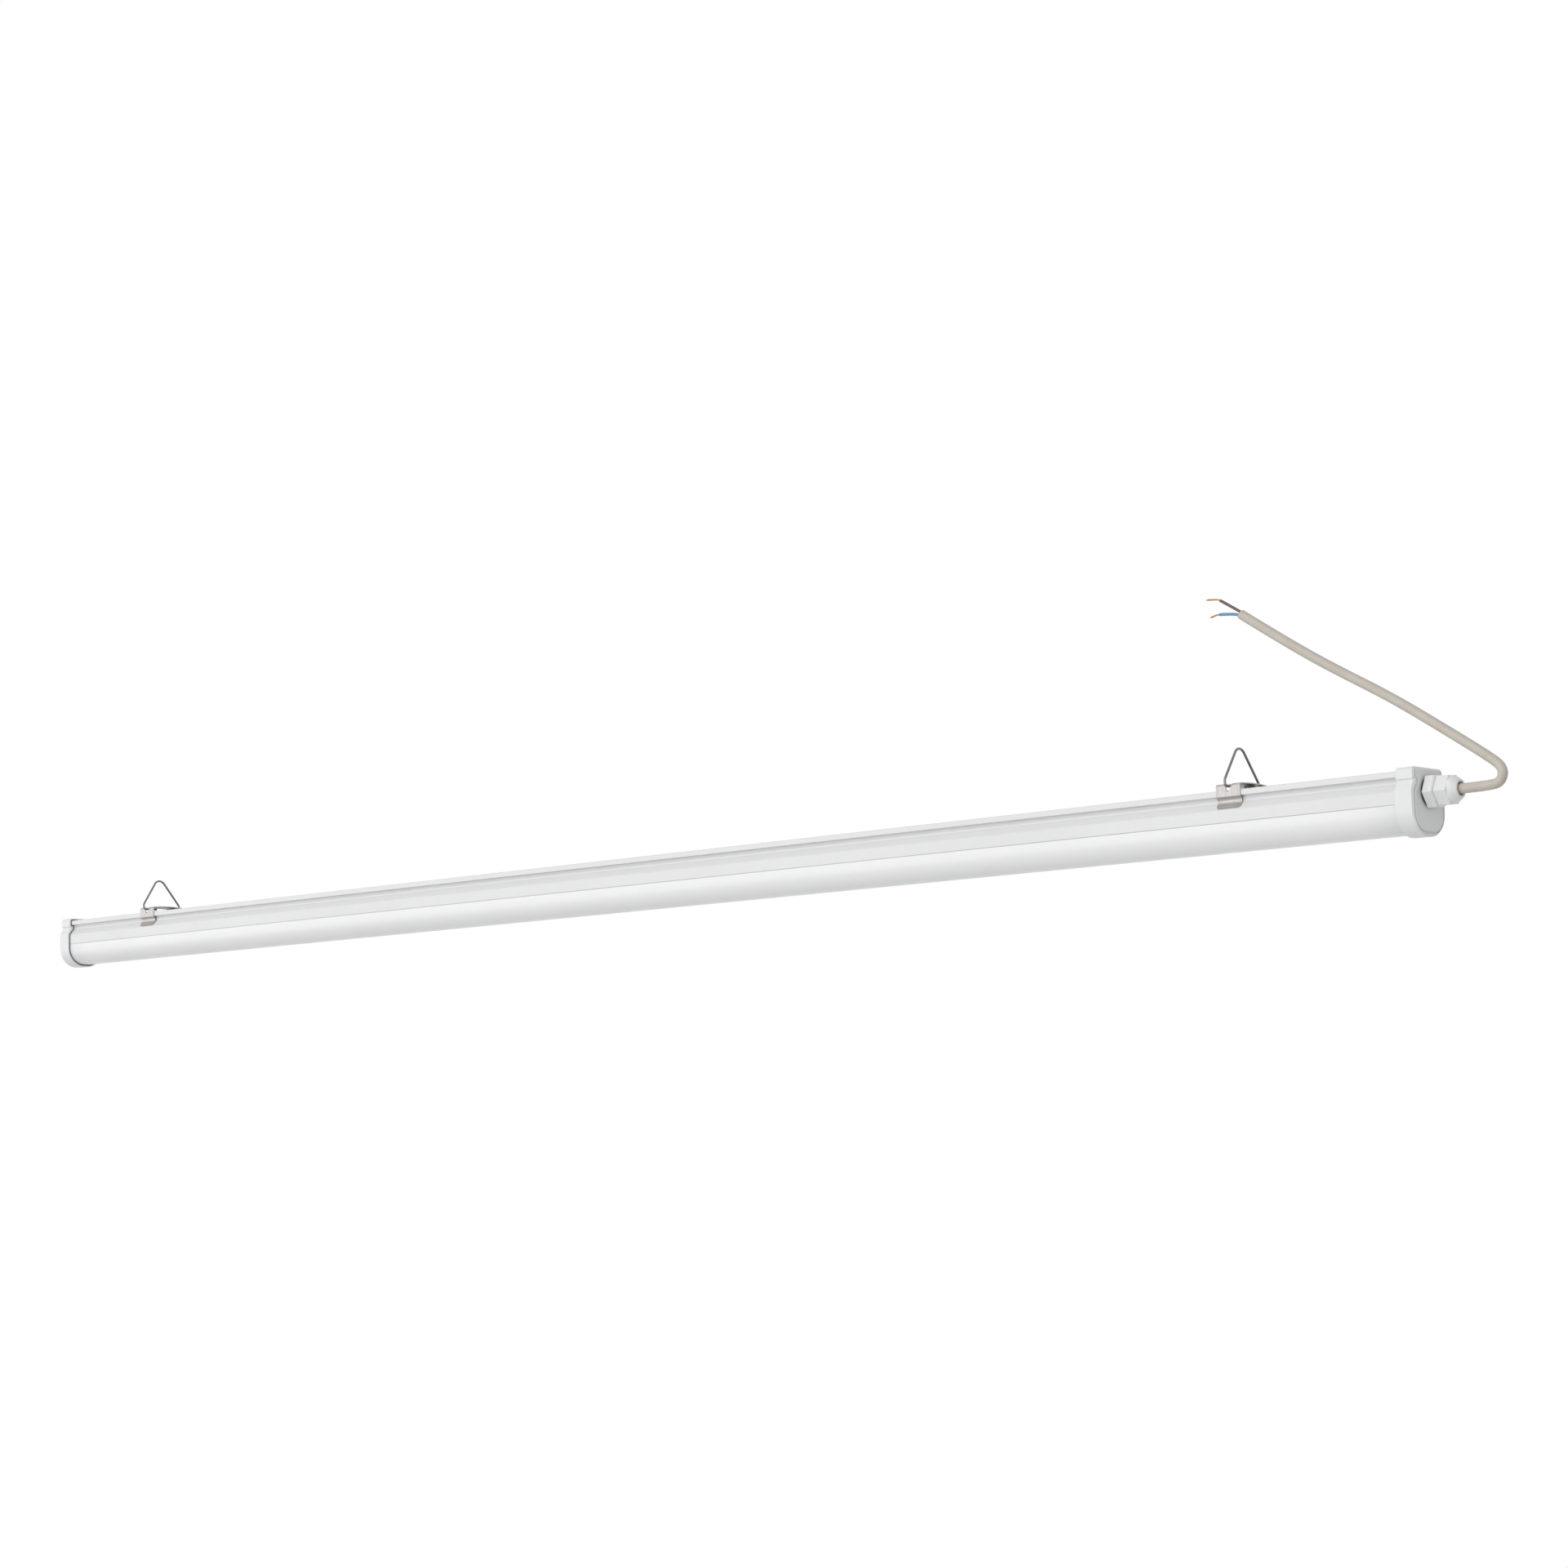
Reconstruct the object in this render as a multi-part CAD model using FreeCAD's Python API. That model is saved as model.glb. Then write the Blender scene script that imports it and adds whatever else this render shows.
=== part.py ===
import FreeCAD, Part
import math
import os

# Slim weatherproof tube light, 1.5 m long, hung from two wire hangers.
# Millimetres. +X runs along the tube towards the cable end and +Z is up.
# All pieces are modelled with z = 0 at the underside of the diffuser, then
# lowered so that z = 0 is the line on which the two hangers are hooked up.

Vector = FreeCAD.Vector
X_AXIS = Vector(1, 0, 0)
Y_AXIS = Vector(0, 1, 0)
Z_AXIS = Vector(0, 0, 1)
FULL_TURN = 360                   # degrees
overrun = 1.0                     # how far cutting shapes run past what they cut

# Body section: a milky U below, a white flanged housing above
body_width = 36.0
bottom_flat = 4.0                 # level stretch of the underside between the two curves
diffuser_side = 3.0               # upright stretch of the diffuser above each curve
housing_height = 22.45            # from the joint to the top
groove_depth = 4.5                # the hollow under the flange that the clips grip
groove_height = 3.95              # its upright stretch
ramp_height = 5.4                 # slope from the groove down to the upright sides
flange_thickness = 4.3
flange_inset = 1.7                # inside the body's side
flange_edge_radius = 1.2
flange_lower_radius = 0.4
wall = 1.6
seam_chamfer = 0.25

# Inner lip and ledge of the housing, which carry the diffuser and the gear tray
lip_thickness = 1.2
lip_height = 4.0
lip_gap = 0.15
ledge_reach = 3.4
ledge_thickness = 1.5

# End caps and their gaskets
fixture_length = 1500.0           # over the rims of the two end caps
cap_length = 13.8
cap_wall = 2.6
cap_skin = 1.1                    # collar outside the gasket
gasket_sleeve = 0.85
gasket_floor = 1.2
slip_gap = 0.05
mouth_round = 0.5
cap_neck_fill = 1.45              # collar's neck shallower than the body's groove
cap_flange_radius = 1.0           # under the collar's flange
cap_ramp_radius = 3.0             # soft bends of the collar's slope
rim_width = 1.65                  # bevel around the end face
rim_length = 0.9
rim_corner_radius = 14.4          # bevel's inner outline, at the bottom
channel_depth = 1.2               # channel between that bevel and the panel
panel_rise = 0.15                 # panel in front of the rim
panel_round = 0.4
panel_side_inset = 1.6            # inside the body's side, groove, flange and bottom
panel_neck_inset = 1.3
panel_flange_inset = 0.9
panel_bottom_inset = 1.2
panel_top_rise = 0.9              # above the body's top, where it meets the bevel
panel_corner_radius = 11.2
panel_ramp_drop = 0.8             # its slope starts below the body's
panel_neck_height = 2.2           # upright stretch of its neck
panel_lobe_height = 4.85          # upright stretch of its side beside the flange
panel_neck_radius = 2.4
panel_lobe_radius = 1.6
round_steps = 3

# Cable gland
gland_drop = 14.05                # its axis below the top of the body
gland_thread_radius = 8.0
gland_hole_gap = 0.1
gland_flange_rim = 2.6            # hexagonal flange's flats outside the thread
gland_flange_length = 7.2
gland_flange_round = 2.3          # round front edge of that flange
gland_back_round = 0.3
gland_wall = 2.8                  # from the thread to the bore
gland_stem_length = 13.0          # thread behind the flange
gland_sleeve_length = 9.5         # thread inside the cap nut
gland_collar_step = 0.1           # that thread is finer than the one behind the flange
washer_thickness = 1.85
washer_inset = 0.6                # inside the hexagonal flange's flats
nut_wall = 1.6                    # at the middle of a flat
nut_length = 15.6
nut_foot_length = 0.7             # round foot between the flange and the nut's hexagon
nut_foot_inset = 0.9              # inside the flats
nut_hex_length = 9.9              # with the foot
nut_hex_round = 0.9
nut_flat_depth = 0.25             # round nose inside the flats
nut_dome_length = 4.4
nut_dome_radius = 6.5
nut_nose_round = 1.6
nut_mouth_lip = 0.5               # mouth inside the bore
nut_mouth_bevel = 0.3
nut_nose_flat = 1.4               # around the mouth
nut_wall_end = 3.4                # plastic in front of the seal
nut_thread_gap = 0.1
seal_length = 7.0
lock_nut_thickness = 4.6
lock_nut_wall = 2.0
hex_sides = 6
hex_edge_radius = 0.5             # along the six edges
gland_turn = 5.0                  # degrees that the tightened flange and nut stand turned
nut_turn = 4.0

# Gear tray, light boards and their chips
tray_end_gap = 11.2               # to the end of the body
tray_thickness = 1.0
tray_side_gap = 0.45
tray_side_height = 5.0
tray_bend_radius = 1.2
board_count = 3
board_gap = 4.0
board_margin = 4.0                # from the tray's ends
board_side_gap = 3.0              # to the housing's ledges
board_thickness = 1.0
chips_per_board = 36
chip_start_share = 0.5            # of the pitch, from the board's end
chip_length = 2.8
chip_width = 3.5
chip_height = 0.7
rivet_radius = 1.25
rivet_head_radius = 2.3
rivet_head_height = 0.6
rivet_inset = 3.0                 # from the board's long edges
rivet_shares = (0.05, 0.25, 0.84, 0.97)     # places along each board
link_length = 16.0
link_width = 4.0
link_height = 2.4

# Driver on top of the tray
driver_length = 240.0
driver_side_gap = 1.4             # to the housing beside the groove
driver_top_gap = 4.35             # over its lid
driver_end_gap = 33.0             # to the terminal block
driver_wall = 1.0
driver_lid_lap = 4.0
driver_ear_length = 9.0
driver_ear_thickness = 1.2
driver_board_lift = 2.2
driver_board_thickness = 1.2
driver_post_size = 3.0
transformer_length = 19.0
transformer_side_gap = 1.7        # to the board's long edges
transformer_gap = 1.0             # under the lid
transformer_bulge = 1.2
transformer_share = 0.45          # places along the driver
choke_share = 0.85
capacitor_shares = (0.22, 0.62)
choke_gap = 1.2                   # under the lid
choke_length = 12.0
capacitor_gap = 1.4               # under the lid
capacitor_length = 16.0
screw_radius = 1.4
screw_head_radius = 2.7
screw_head_height = 1.7

# Terminal block between the gland and the driver
terminal_end_gap = 61.4           # to the end wall of the cap
terminal_length = 18.0
terminal_side_gap = 1.9           # to the housing beside the groove
terminal_drop = 0.5               # its top below the driver's
terminal_way_depth = 6.0
terminal_well_radius = 2.2
terminal_well_depth = 3.0
terminal_well_inset = 4.5         # from the block's ends
terminal_screw_radius = 2.0
terminal_screw_height = 1.6

# Spring clips
clip_right_inset = 148.4          # from the fixture's ends to the clips' middles
clip_left_inset = 132.5
clip_length = 20.0
clip_sheet = 0.7
clip_gap = 0.1                    # to the flange, on each side
clip_plate_gap = 3.6              # between the flange's top and the plate's two edges
clip_arch = 1.3                   # rise of the crossing lines of the arched plate
clip_arch_share = 0.8             # share of the half plate that the arch takes up
clip_corner_radius = 1.3
clip_knee_drop = 0.2              # the bend's height below the flange
clip_knee_radius = 1.0
clip_waist_reach = 3.6            # how far the leg's lines go in below the flange
clip_waist_drop = 3.0             # where those lines cross, below the flange
clip_waist_radius = 3.4
clip_lip_reach = 1.0              # how far the lip stands out past the leg
clip_lip_drop = 8.25              # lip's end below the flange
clip_lip_round = 2.4              # round corners at the lip's end
clip_slot_width = 3.2
clip_slot_drop = 3.7              # slot's bottom below the hanger's bar
clip_slot_mouth = 8.6
clip_slot_flare = 2.4
clip_slot_depth = 1.9             # how far the slot runs into the plate
clip_screw_radius = 2.5

# Wire hangers
wire_radius = 0.9
wire_gap = 0.05                   # under the clip's plate
hanger_gap = 2.1                  # between each leg and the clip's side
hanger_foot_radius = 1.9
hanger_shoulder = 4.4             # bar to the bend in each leg
hanger_shoulder_radius = 3.0
hanger_rise = 31.7                # bar to where the lines of the legs cross
hanger_top_radius = 6.5
hanger_right_lean = -2.4          # degrees, towards the cable end
hanger_left_lean = -7.5
hanger_bar_opening = 12.0         # between the wire's two ends, under the plate

# Mains cable: a round two-core lead with stripped cores
cable_radius = 3.4
cable_inner_length = 52.0         # clamped in the gland and inside the body
cable_set_back = 1.1              # free part starts this far inside the nut's mouth
core_radius = 1.05
core_offset = 1.3                 # each core's axis from the cable's axis
copper_radius = 0.6
bend_share = 0.45                 # share of the shorter run that an arc takes up

# Route of the free cable, measured from where it leaves the gland
cable_route = [
    (0.0, 0.0, 0.0),
    (10.3, 0.0, 0.0),
    (21.0, 0.0, 0.2),
    (30.7, 0.2, 1.2),
    (33.2, 0.5, 10.8),
    (20.6, 0.9, 20.2),
    (-5.1, 1.6, 37.0),
    (-50.9, 2.2, 66.4),
    (-97.1, 1.4, 92.1),
    (-132.3, 0.5, 113.8),
    (-166.7, 0.0, 136.5),
]

# The two cores and their bare copper, measured from the cut end of the jacket
core_lead = 3.5                   # straight out of the jacket
copper_lead = 1.2                 # straight out of the insulation
live_core_route = [
    (-17.9, 0.0, 12.5),
]
live_copper_route = [
    (-29.8, 0.0, 14.4),
]
neutral_core_route = [
    (-10.8, 0.0, 2.1),
    (-18.8, 0.0, 2.7),
]
neutral_copper_route = [
    (-26.6, 0.0, 1.4),
]

# Leads inside the body
lead_radius = 0.9
lead_bend_radius = 2.5
lead_gap = 0.3
lead_height = 6.0                 # axis above the tray
lead_spacing = 9.0
lead_run = 10.0                   # straight stretch at the inlet and the outlet
lead_end = 4.0                    # length inside the driver
outlet_hole_radius = 3.5
outlet_ear_gap = 0.5              # between that hole and the driver's ear
outlet_spacing = 3.6

# Sizes and places that follow from the ones above
half_width = body_width / 2
bottom_radius = half_width - bottom_flat / 2
joint_height = bottom_radius + diffuser_side
body_height = joint_height + housing_height
groove_width = body_width - 2 * groove_depth
groove_top = body_height - flange_thickness
flange_width = body_width - 2 * flange_inset
ramp_start = groove_top - groove_height - ramp_height
gland_height = body_height - gland_drop
gland_flats = 2 * (gland_thread_radius + gland_flange_rim)
gland_collar_radius = gland_thread_radius - gland_collar_step
gland_bore_radius = gland_thread_radius - gland_wall
nut_flats = 2 * (gland_collar_radius + nut_thread_gap + nut_wall)
nut_round_radius = nut_flats / 2 - nut_flat_depth
nut_mouth_radius = gland_bore_radius - nut_mouth_lip
nut_nose_radius = nut_mouth_radius + nut_nose_flat
nut_foot_radius = nut_flats / 2 - nut_foot_inset
lock_nut_flats = 2 * (gland_thread_radius + lock_nut_wall)
half_fixture = fixture_length / 2
cap_mouth = half_fixture - cap_length
cap_floor = half_fixture - cap_wall
half_body = cap_floor - gasket_floor
gasket_grow = slip_gap + gasket_sleeve
pocket_grow = gasket_grow + slip_gap
cap_grow = pocket_grow + cap_skin
rim_grow = cap_grow - rim_width
tray_floor = joint_height + ledge_thickness
tray_top = tray_floor + tray_thickness
half_tray = half_width - wall - tray_side_gap
tray_length = 2 * (half_body - tray_end_gap)
board_floor = tray_floor - board_thickness
board_width = body_width - 2 * (wall + ledge_reach + board_side_gap)
rivet_offset = board_width / 2 - rivet_inset
board_length = (tray_length - 2 * board_margin - (board_count - 1) * board_gap) / board_count
terminal_end = cap_floor - terminal_end_gap
terminal_start = terminal_end - terminal_length
terminal_width = groove_width - 2 * (wall + terminal_side_gap)
driver_end = terminal_start - driver_end_gap
driver_start = driver_end - driver_length
driver_width = groove_width - 2 * (wall + driver_side_gap)
driver_top = body_height - wall - driver_top_gap - driver_wall
driver_board_top = tray_top + driver_wall + driver_board_lift + driver_board_thickness
driver_room = driver_top - driver_board_top
transformer_width = driver_width - 2 * (driver_wall + transformer_side_gap)
transformer_height = driver_room - transformer_gap
choke_radius = (driver_room - choke_gap) / 2
capacitor_radius = (driver_room - capacitor_gap) / 2
terminal_top = driver_top - terminal_drop
lead_axis = tray_top + lead_height
gland_inner_face = half_fixture + panel_rise
gland_face = gland_inner_face + washer_thickness
washer_radius = gland_flats / 2 - washer_inset
nut_start = gland_face + gland_flange_length
nut_end = nut_start + nut_length
gland_centre = Vector(nut_start, 0, gland_height)
cable_exit = Vector(nut_end - cable_set_back, 0, gland_height)
cable_inner_end = cable_exit.x - cable_inner_length
clip_right_place = half_fixture - clip_right_inset
clip_left_place = clip_left_inset - half_fixture
clip_plate_height = body_height + clip_plate_gap + clip_sheet
clip_half_width = flange_width / 2 + clip_gap + clip_sheet
wire_axis_height = body_height + clip_plate_gap - wire_gap - wire_radius
hanger_width = 2 * (clip_half_width + hanger_gap + wire_radius)
top_half_angle = math.atan2(hanger_width / 2, hanger_rise - hanger_shoulder)
hook_drop = hanger_top_radius * (1 / math.sin(top_half_angle) - 1) + wire_radius
hang_height = wire_axis_height + hanger_rise - hook_drop


def unit(vector):
    """Unit vector along a vector."""
    return Vector(vector).normalize()


def rounded_wire(points, radii, closed=False):
    """Wire of straight runs through the points, joined by tangent arcs."""
    count = len(points)
    entries = []
    exits = []
    arcs = []
    for index in range(count):
        here = points[index]
        inner = closed or 0 < index < count - 1
        if not inner or radii[index] <= 0:
            entries.append(here)
            exits.append(here)
            arcs.append(None)
            continue
        arriving = unit(here - points[index - 1])
        leaving = unit(points[(index + 1) % count] - here)
        half_turn = arriving.getAngle(leaving) / 2
        setback = radii[index] * math.tan(half_turn)
        inward = unit(leaving - arriving)
        centre = here + inward * (radii[index] / math.cos(half_turn))
        entries.append(here - arriving * setback)
        exits.append(here + leaving * setback)
        arcs.append(centre - inward * radii[index])
    edges = []
    for index in range(count):
        if arcs[index] is not None:
            edges.append(Part.Arc(entries[index], arcs[index], exits[index]).toShape())
        following = (index + 1) % count
        if index == count - 1 and not closed:
            break
        edges.append(Part.LineSegment(exits[index], entries[following]).toShape())
    return Part.Wire(edges)


def soft_radii(points):
    """Arc radii for a cord: as large as the two runs at each point allow."""
    radii = [0]
    for index in range(1, len(points) - 1):
        before = points[index] - points[index - 1]
        after = points[index + 1] - points[index]
        half_turn = before.getAngle(after) / 2
        radii.append(bend_share * min(before.Length, after.Length) / math.tan(half_turn))
    radii.append(0)
    return radii


def tube(points, radii, radius):
    """Solid round tube along straight runs and arcs."""
    path = rounded_wire(points, radii)
    section = Part.Wire(Part.makeCircle(radius, points[0], points[1] - points[0]))
    return path.makePipeShell([section], True, False)


def placed(route, start):
    """Points of a route that is measured from a start point."""
    return [start + Vector(*point) for point in route]


def ramp_rise(grow):
    """How far up the groove's ramp moves when the outline grows by an amount."""
    run = half_width - groove_width / 2
    return grow * (math.hypot(run, ramp_height) - ramp_height) / run


def body_corners(grow):
    """Corners (y, z, radius) of the body's right half, grown outwards by an amount."""
    side = half_width + grow
    groove = groove_width / 2 + grow
    flange = flange_width / 2 + grow
    ramp_low = ramp_start + ramp_rise(grow)
    return [
        (side, -grow, bottom_radius + grow),
        (side, ramp_low, 0),
        (groove, ramp_low + ramp_height, 0),
        (groove, groove_top - grow, 0),
        (flange, groove_top - grow, flange_lower_radius + grow),
        (flange, body_height + grow, flange_edge_radius + grow),
    ]


def hollow_corners(grow):
    """Corners of the right half of the hollow, which leaves the flange solid."""
    side = half_width - wall + grow
    groove = groove_width / 2 - wall + grow
    ramp_low = ramp_start + ramp_rise(grow - wall)
    return [
        (side, wall - grow, bottom_radius - wall + grow),
        (side, ramp_low, 0),
        (groove, ramp_low + ramp_height, 0),
        (groove, body_height - wall + grow, 0),
    ]


def cap_corners(grow):
    """Corners of the right half of an end cap's outside, whose neck is shallow."""
    side = half_width + grow
    neck = groove_width / 2 + cap_neck_fill + grow
    flange = flange_width / 2 + grow
    ramp_low = ramp_start + ramp_rise(grow)
    return [
        (side, -grow, bottom_radius + grow),
        (side, ramp_low, cap_ramp_radius),
        (neck, ramp_low + ramp_height, cap_ramp_radius / 2),
        (neck, groove_top - grow, 0),
        (flange, groove_top - grow, cap_flange_radius),
        (flange, body_height + grow, flange_edge_radius + grow),
    ]


def rim_corners():
    """Corners of the right half of the bevel's inner outline."""
    side, bottom, _ = cap_corners(rim_grow)[0]
    return [(side, bottom, rim_corner_radius)] + cap_corners(rim_grow)[1:]


def panel_corners(grow):
    """Corners of the right half of the panel on an end cap."""
    side = half_width - panel_side_inset + grow
    neck = groove_width / 2 - panel_neck_inset + grow
    flange = flange_width / 2 - panel_flange_inset + grow
    ramp_low = ramp_start - panel_ramp_drop + ramp_rise(grow)
    neck_low = ramp_low + ramp_height
    top = body_height + panel_top_rise + grow
    return [
        (side, panel_bottom_inset - grow, panel_corner_radius + grow),
        (side, ramp_low, panel_neck_radius),
        (neck, neck_low, panel_neck_radius),
        (neck, neck_low + panel_neck_height, panel_neck_radius),
        (flange, top - panel_lobe_height, panel_lobe_radius),
        (flange, top, panel_lobe_radius),
    ]


def gland_flange_corners(grow):
    """Corners of the right half of the gland's hexagonal flange."""
    return hexagon_half(gland_flats + 2 * grow)


def nut_corners(grow):
    """Corners of the right half of the cap nut's hexagon."""
    return hexagon_half(nut_flats + 2 * grow)


def section_wire(corners, place):
    """Closed symmetrical outline from its right half, in the plane X = place."""
    left = [(-corner[0], corner[1], corner[2]) for corner in reversed(corners)]
    loop = corners + left
    points = [Vector(place, corner[0], corner[1]) for corner in loop]
    return rounded_wire(points, [corner[2] for corner in loop], True)


def section_bar(corners, start, end):
    """Solid bar of a section between two places along X."""
    return Part.Face(section_wire(corners, start)).extrude(X_AXIS * (end - start))


def end_wires(section, grow, place, radius):
    """Outlines of a rounded end in a few steps; a negative radius rounds it the other way."""
    wires = []
    for step in range(round_steps + 1):
        angle = math.pi / 2 * step / round_steps
        corners = section(grow - abs(radius) * (1 - math.sin(angle)))
        wires.append(section_wire(corners, place + radius * (1 - math.cos(angle))))
    return wires


def rounded_bar(section, grow, start, end, near_round, far_round):
    """Bar of a section whose end edges are rounded in a few ruled steps."""
    near_wires = end_wires(section, grow, start, near_round)
    far_wires = end_wires(section, grow, end, -far_round)
    return Part.makeLoft(near_wires + list(reversed(far_wires)), True, True)


def box(x_low, x_high, y_low, y_high, z_low, z_high):
    """Rectangular block between two corners."""
    corner = Vector(x_low, y_low, z_low)
    return Part.makeBox(x_high - x_low, y_high - y_low, z_high - z_low, corner)


def rod(radius, start, length, direction):
    """Solid cylinder from a point along a direction."""
    return Part.makeCylinder(radius, length, start, direction)


def prism(outline, start, length):
    """Solid along X from a list of (y, z) corners."""
    points = [Vector(start, corner[0], corner[1]) for corner in outline]
    face = Part.Face(Part.makePolygon(points + [points[0]]))
    return face.extrude(X_AXIS * length)


def hexagon_corner(flats):
    """Distance from the middle of a hexagon to its corners."""
    return flats / (2 * math.cos(math.pi / hex_sides))


def hexagon_half(flats):
    """Corners of the right half of a hexagon about the gland's axis, two flats level."""
    corner = hexagon_corner(flats)
    return [
        (corner / 2, gland_height - flats / 2, hex_edge_radius),
        (corner, gland_height, hex_edge_radius),
        (corner / 2, gland_height + flats / 2, hex_edge_radius),
    ]


def hexagon(flats, start, length, height):
    """Hexagonal prism along X with two flats level."""
    corner_radius = hexagon_corner(flats)
    outline = []
    for side in range(hex_sides):
        angle = 2 * math.pi * side / hex_sides
        outline.append((corner_radius * math.cos(angle), height + corner_radius * math.sin(angle)))
    return prism(outline, start, length)


def turned(profile):
    """Solid turned about the gland's axis from (x, distance, corner radius) points."""
    points = [Vector(corner[0], 0, gland_height + corner[1]) for corner in profile]
    wire = rounded_wire(points, [corner[2] for corner in profile], True)
    return Part.Face(wire).revolve(Vector(0, 0, gland_height), X_AXIS, FULL_TURN)


def ring(outer, inner, start, end):
    """Plain ring about the gland's axis."""
    return turned([(start, inner, 0), (end, inner, 0), (end, outer, 0), (start, outer, 0)])


def sheet_strip(line, radii, thickness, start, length):
    """Bent sheet: a (y, z) line with bend radii, thickened and run along X."""
    count = len(line)
    sides = []
    for sign in (1, -1):
        offset = sign * thickness / 2
        corners = []
        for index in range(count):
            before = line[max(index - 1, 0)]
            here = line[index]
            after = line[min(index + 1, count - 1)]
            arriving = (here[0] - before[0], here[1] - before[1])
            leaving = (after[0] - here[0], after[1] - here[1])
            if index == 0:
                arriving = leaving
            if index == count - 1:
                leaving = arriving
            first = math.hypot(*arriving)
            second = math.hypot(*leaving)
            normal_in = (-arriving[1] / first, arriving[0] / first)
            normal_out = (-leaving[1] / second, leaving[0] / second)
            share = offset / (1 + normal_in[0] * normal_out[0] + normal_in[1] * normal_out[1])
            cross = arriving[0] * leaving[1] - arriving[1] * leaving[0]
            radius = radii[index] - offset * math.copysign(1, cross)
            if index in (0, count - 1):
                radius = 0
            y = here[0] + (normal_in[0] + normal_out[0]) * share
            z = here[1] + (normal_in[1] + normal_out[1]) * share
            corners.append((y, z, max(radius, 0)))
        sides.append(corners)
    loop = sides[0] + list(reversed(sides[1]))
    points = [Vector(start, corner[0], corner[1]) for corner in loop]
    wire = rounded_wire(points, [corner[2] for corner in loop], True)
    return Part.Face(wire).extrude(X_AXIS * length)


def joined(shapes):
    """One solid from several that touch or overlap."""
    first = shapes[0]
    return first.fuse(shapes[1:]).removeSplitter()


def both_sides(shape):
    """The shape together with its mirror image across the plane Y = 0."""
    return [shape, shape.mirror(Vector(0, 0, 0), Y_AXIS)]


def at_other_end(shape):
    """Mirror image of a shape across the plane X = 0."""
    return shape.mirror(Vector(0, 0, 0), X_AXIS)


def save(name, shape):
    """Lower a piece onto the hanging line and write it to its own file."""
    moved = shape.copy()
    moved.translate(Vector(0, 0, -hang_height))
    if not moved.isValid() or not moved.Solids:
        raise ValueError(name + " is not a valid solid")
    moved.exportStep("parts/" + name + ".step")
    print(name, len(moved.Solids), round(moved.Volume, 1))


def save_group(name, shapes):
    """Write several like pieces to one file."""
    save(name, Part.Compound(shapes))


def seam_groove():
    """Cutting bar for the fine V along each side where housing and diffuser meet."""
    outline = [
        (half_width - seam_chamfer, joint_height),
        (half_width, joint_height - seam_chamfer),
        (half_width + seam_chamfer, joint_height),
        (half_width, joint_height + seam_chamfer),
    ]
    return both_sides(prism(outline, -half_body, 2 * half_body))


def body_shell():
    """The whole tube section as one thin shell, before it is parted."""
    outside = section_bar(body_corners(0), -half_body, half_body)
    inside = section_bar(hollow_corners(0), -half_body - overrun, half_body + overrun)
    return outside.cut(inside).cut(seam_groove())


def build_housing(shell):
    """Opaque upper extrusion with its ledges and the lips behind the diffuser."""
    below = box(-half_fixture, half_fixture, -body_width, body_width, -body_height, joint_height)
    inner = half_width - wall
    lip_face = inner - lip_gap
    rib = [
        (inner + seam_chamfer, joint_height),
        (inner + seam_chamfer, tray_floor),
        (inner - ledge_reach, tray_floor),
        (inner - ledge_reach, joint_height),
        (lip_face - lip_thickness, joint_height),
        (lip_face - lip_thickness, joint_height - lip_height),
        (lip_face, joint_height - lip_height),
        (lip_face, joint_height),
    ]
    ribs = both_sides(prism(rib, -half_body, 2 * half_body))
    return joined([shell.cut(below)] + ribs)


def build_diffuser(shell):
    """Milky lower U."""
    above = box(-half_fixture, half_fixture, -body_width, body_width, joint_height, 2 * body_height)
    return shell.cut(above)


def build_gasket():
    """Soft sleeve over the body's end, with a floor that its end face presses on."""
    lip = cap_mouth + slip_gap
    outside = section_bar(body_corners(gasket_grow), lip, cap_floor)
    sleeve_hole = section_bar(body_corners(slip_gap), lip - overrun, half_body)
    floor_hole = section_bar(hollow_corners(0), half_body - overrun, cap_floor + overrun)
    return outside.cut(sleeve_hole).cut(floor_hole)


def build_end_cap():
    """Blind cap: a collar around the body, a bevelled end wall and a panel in a channel."""
    wires = end_wires(cap_corners, cap_grow, cap_mouth, mouth_round)
    wires.append(section_wire(cap_corners(cap_grow), half_fixture - rim_length))
    wires.append(section_wire(rim_corners(), half_fixture))
    outside = Part.makeLoft(wires, True, True)
    channel_floor = half_fixture - channel_depth
    channel = section_bar(rim_corners(), channel_floor, half_fixture + overrun)
    panel_start = (cap_floor + channel_floor) / 2
    panel = rounded_bar(panel_corners, 0, panel_start, gland_inner_face, panel_round, panel_round)
    pocket = section_bar(body_corners(pocket_grow), cap_mouth - overrun, cap_floor)
    return joined([outside.cut(channel), panel]).cut(pocket)


def build_feed_cap(cap):
    """The same cap with the hole for the gland."""
    hole_radius = gland_thread_radius + gland_hole_gap
    start = Vector(cap_floor - overrun, 0, gland_height)
    length = gland_inner_face - cap_floor + 2 * overrun
    return cap.cut(rod(hole_radius, start, length, X_AXIS))


def build_gland_body():
    """Hexagonal flange with a thread on each side and a bore for the cable."""
    flange = rounded_bar(
        gland_flange_corners, 0, gland_face, nut_start, gland_back_round, gland_flange_round
    )
    flange.rotate(gland_centre, X_AXIS, gland_turn)
    stem_start = Vector(gland_face - gland_stem_length, 0, gland_height)
    stem = rod(gland_thread_radius, stem_start, gland_stem_length, X_AXIS)
    sleeve_start = Vector(nut_start, 0, gland_height)
    sleeve = rod(gland_collar_radius, sleeve_start, gland_sleeve_length, X_AXIS)
    solid = joined([flange, stem, sleeve])
    bore_start = stem_start - X_AXIS * overrun
    bore_length = gland_stem_length + nut_start - gland_face + gland_sleeve_length + 2 * overrun
    return solid.cut(rod(gland_bore_radius, bore_start, bore_length, X_AXIS))


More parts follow.
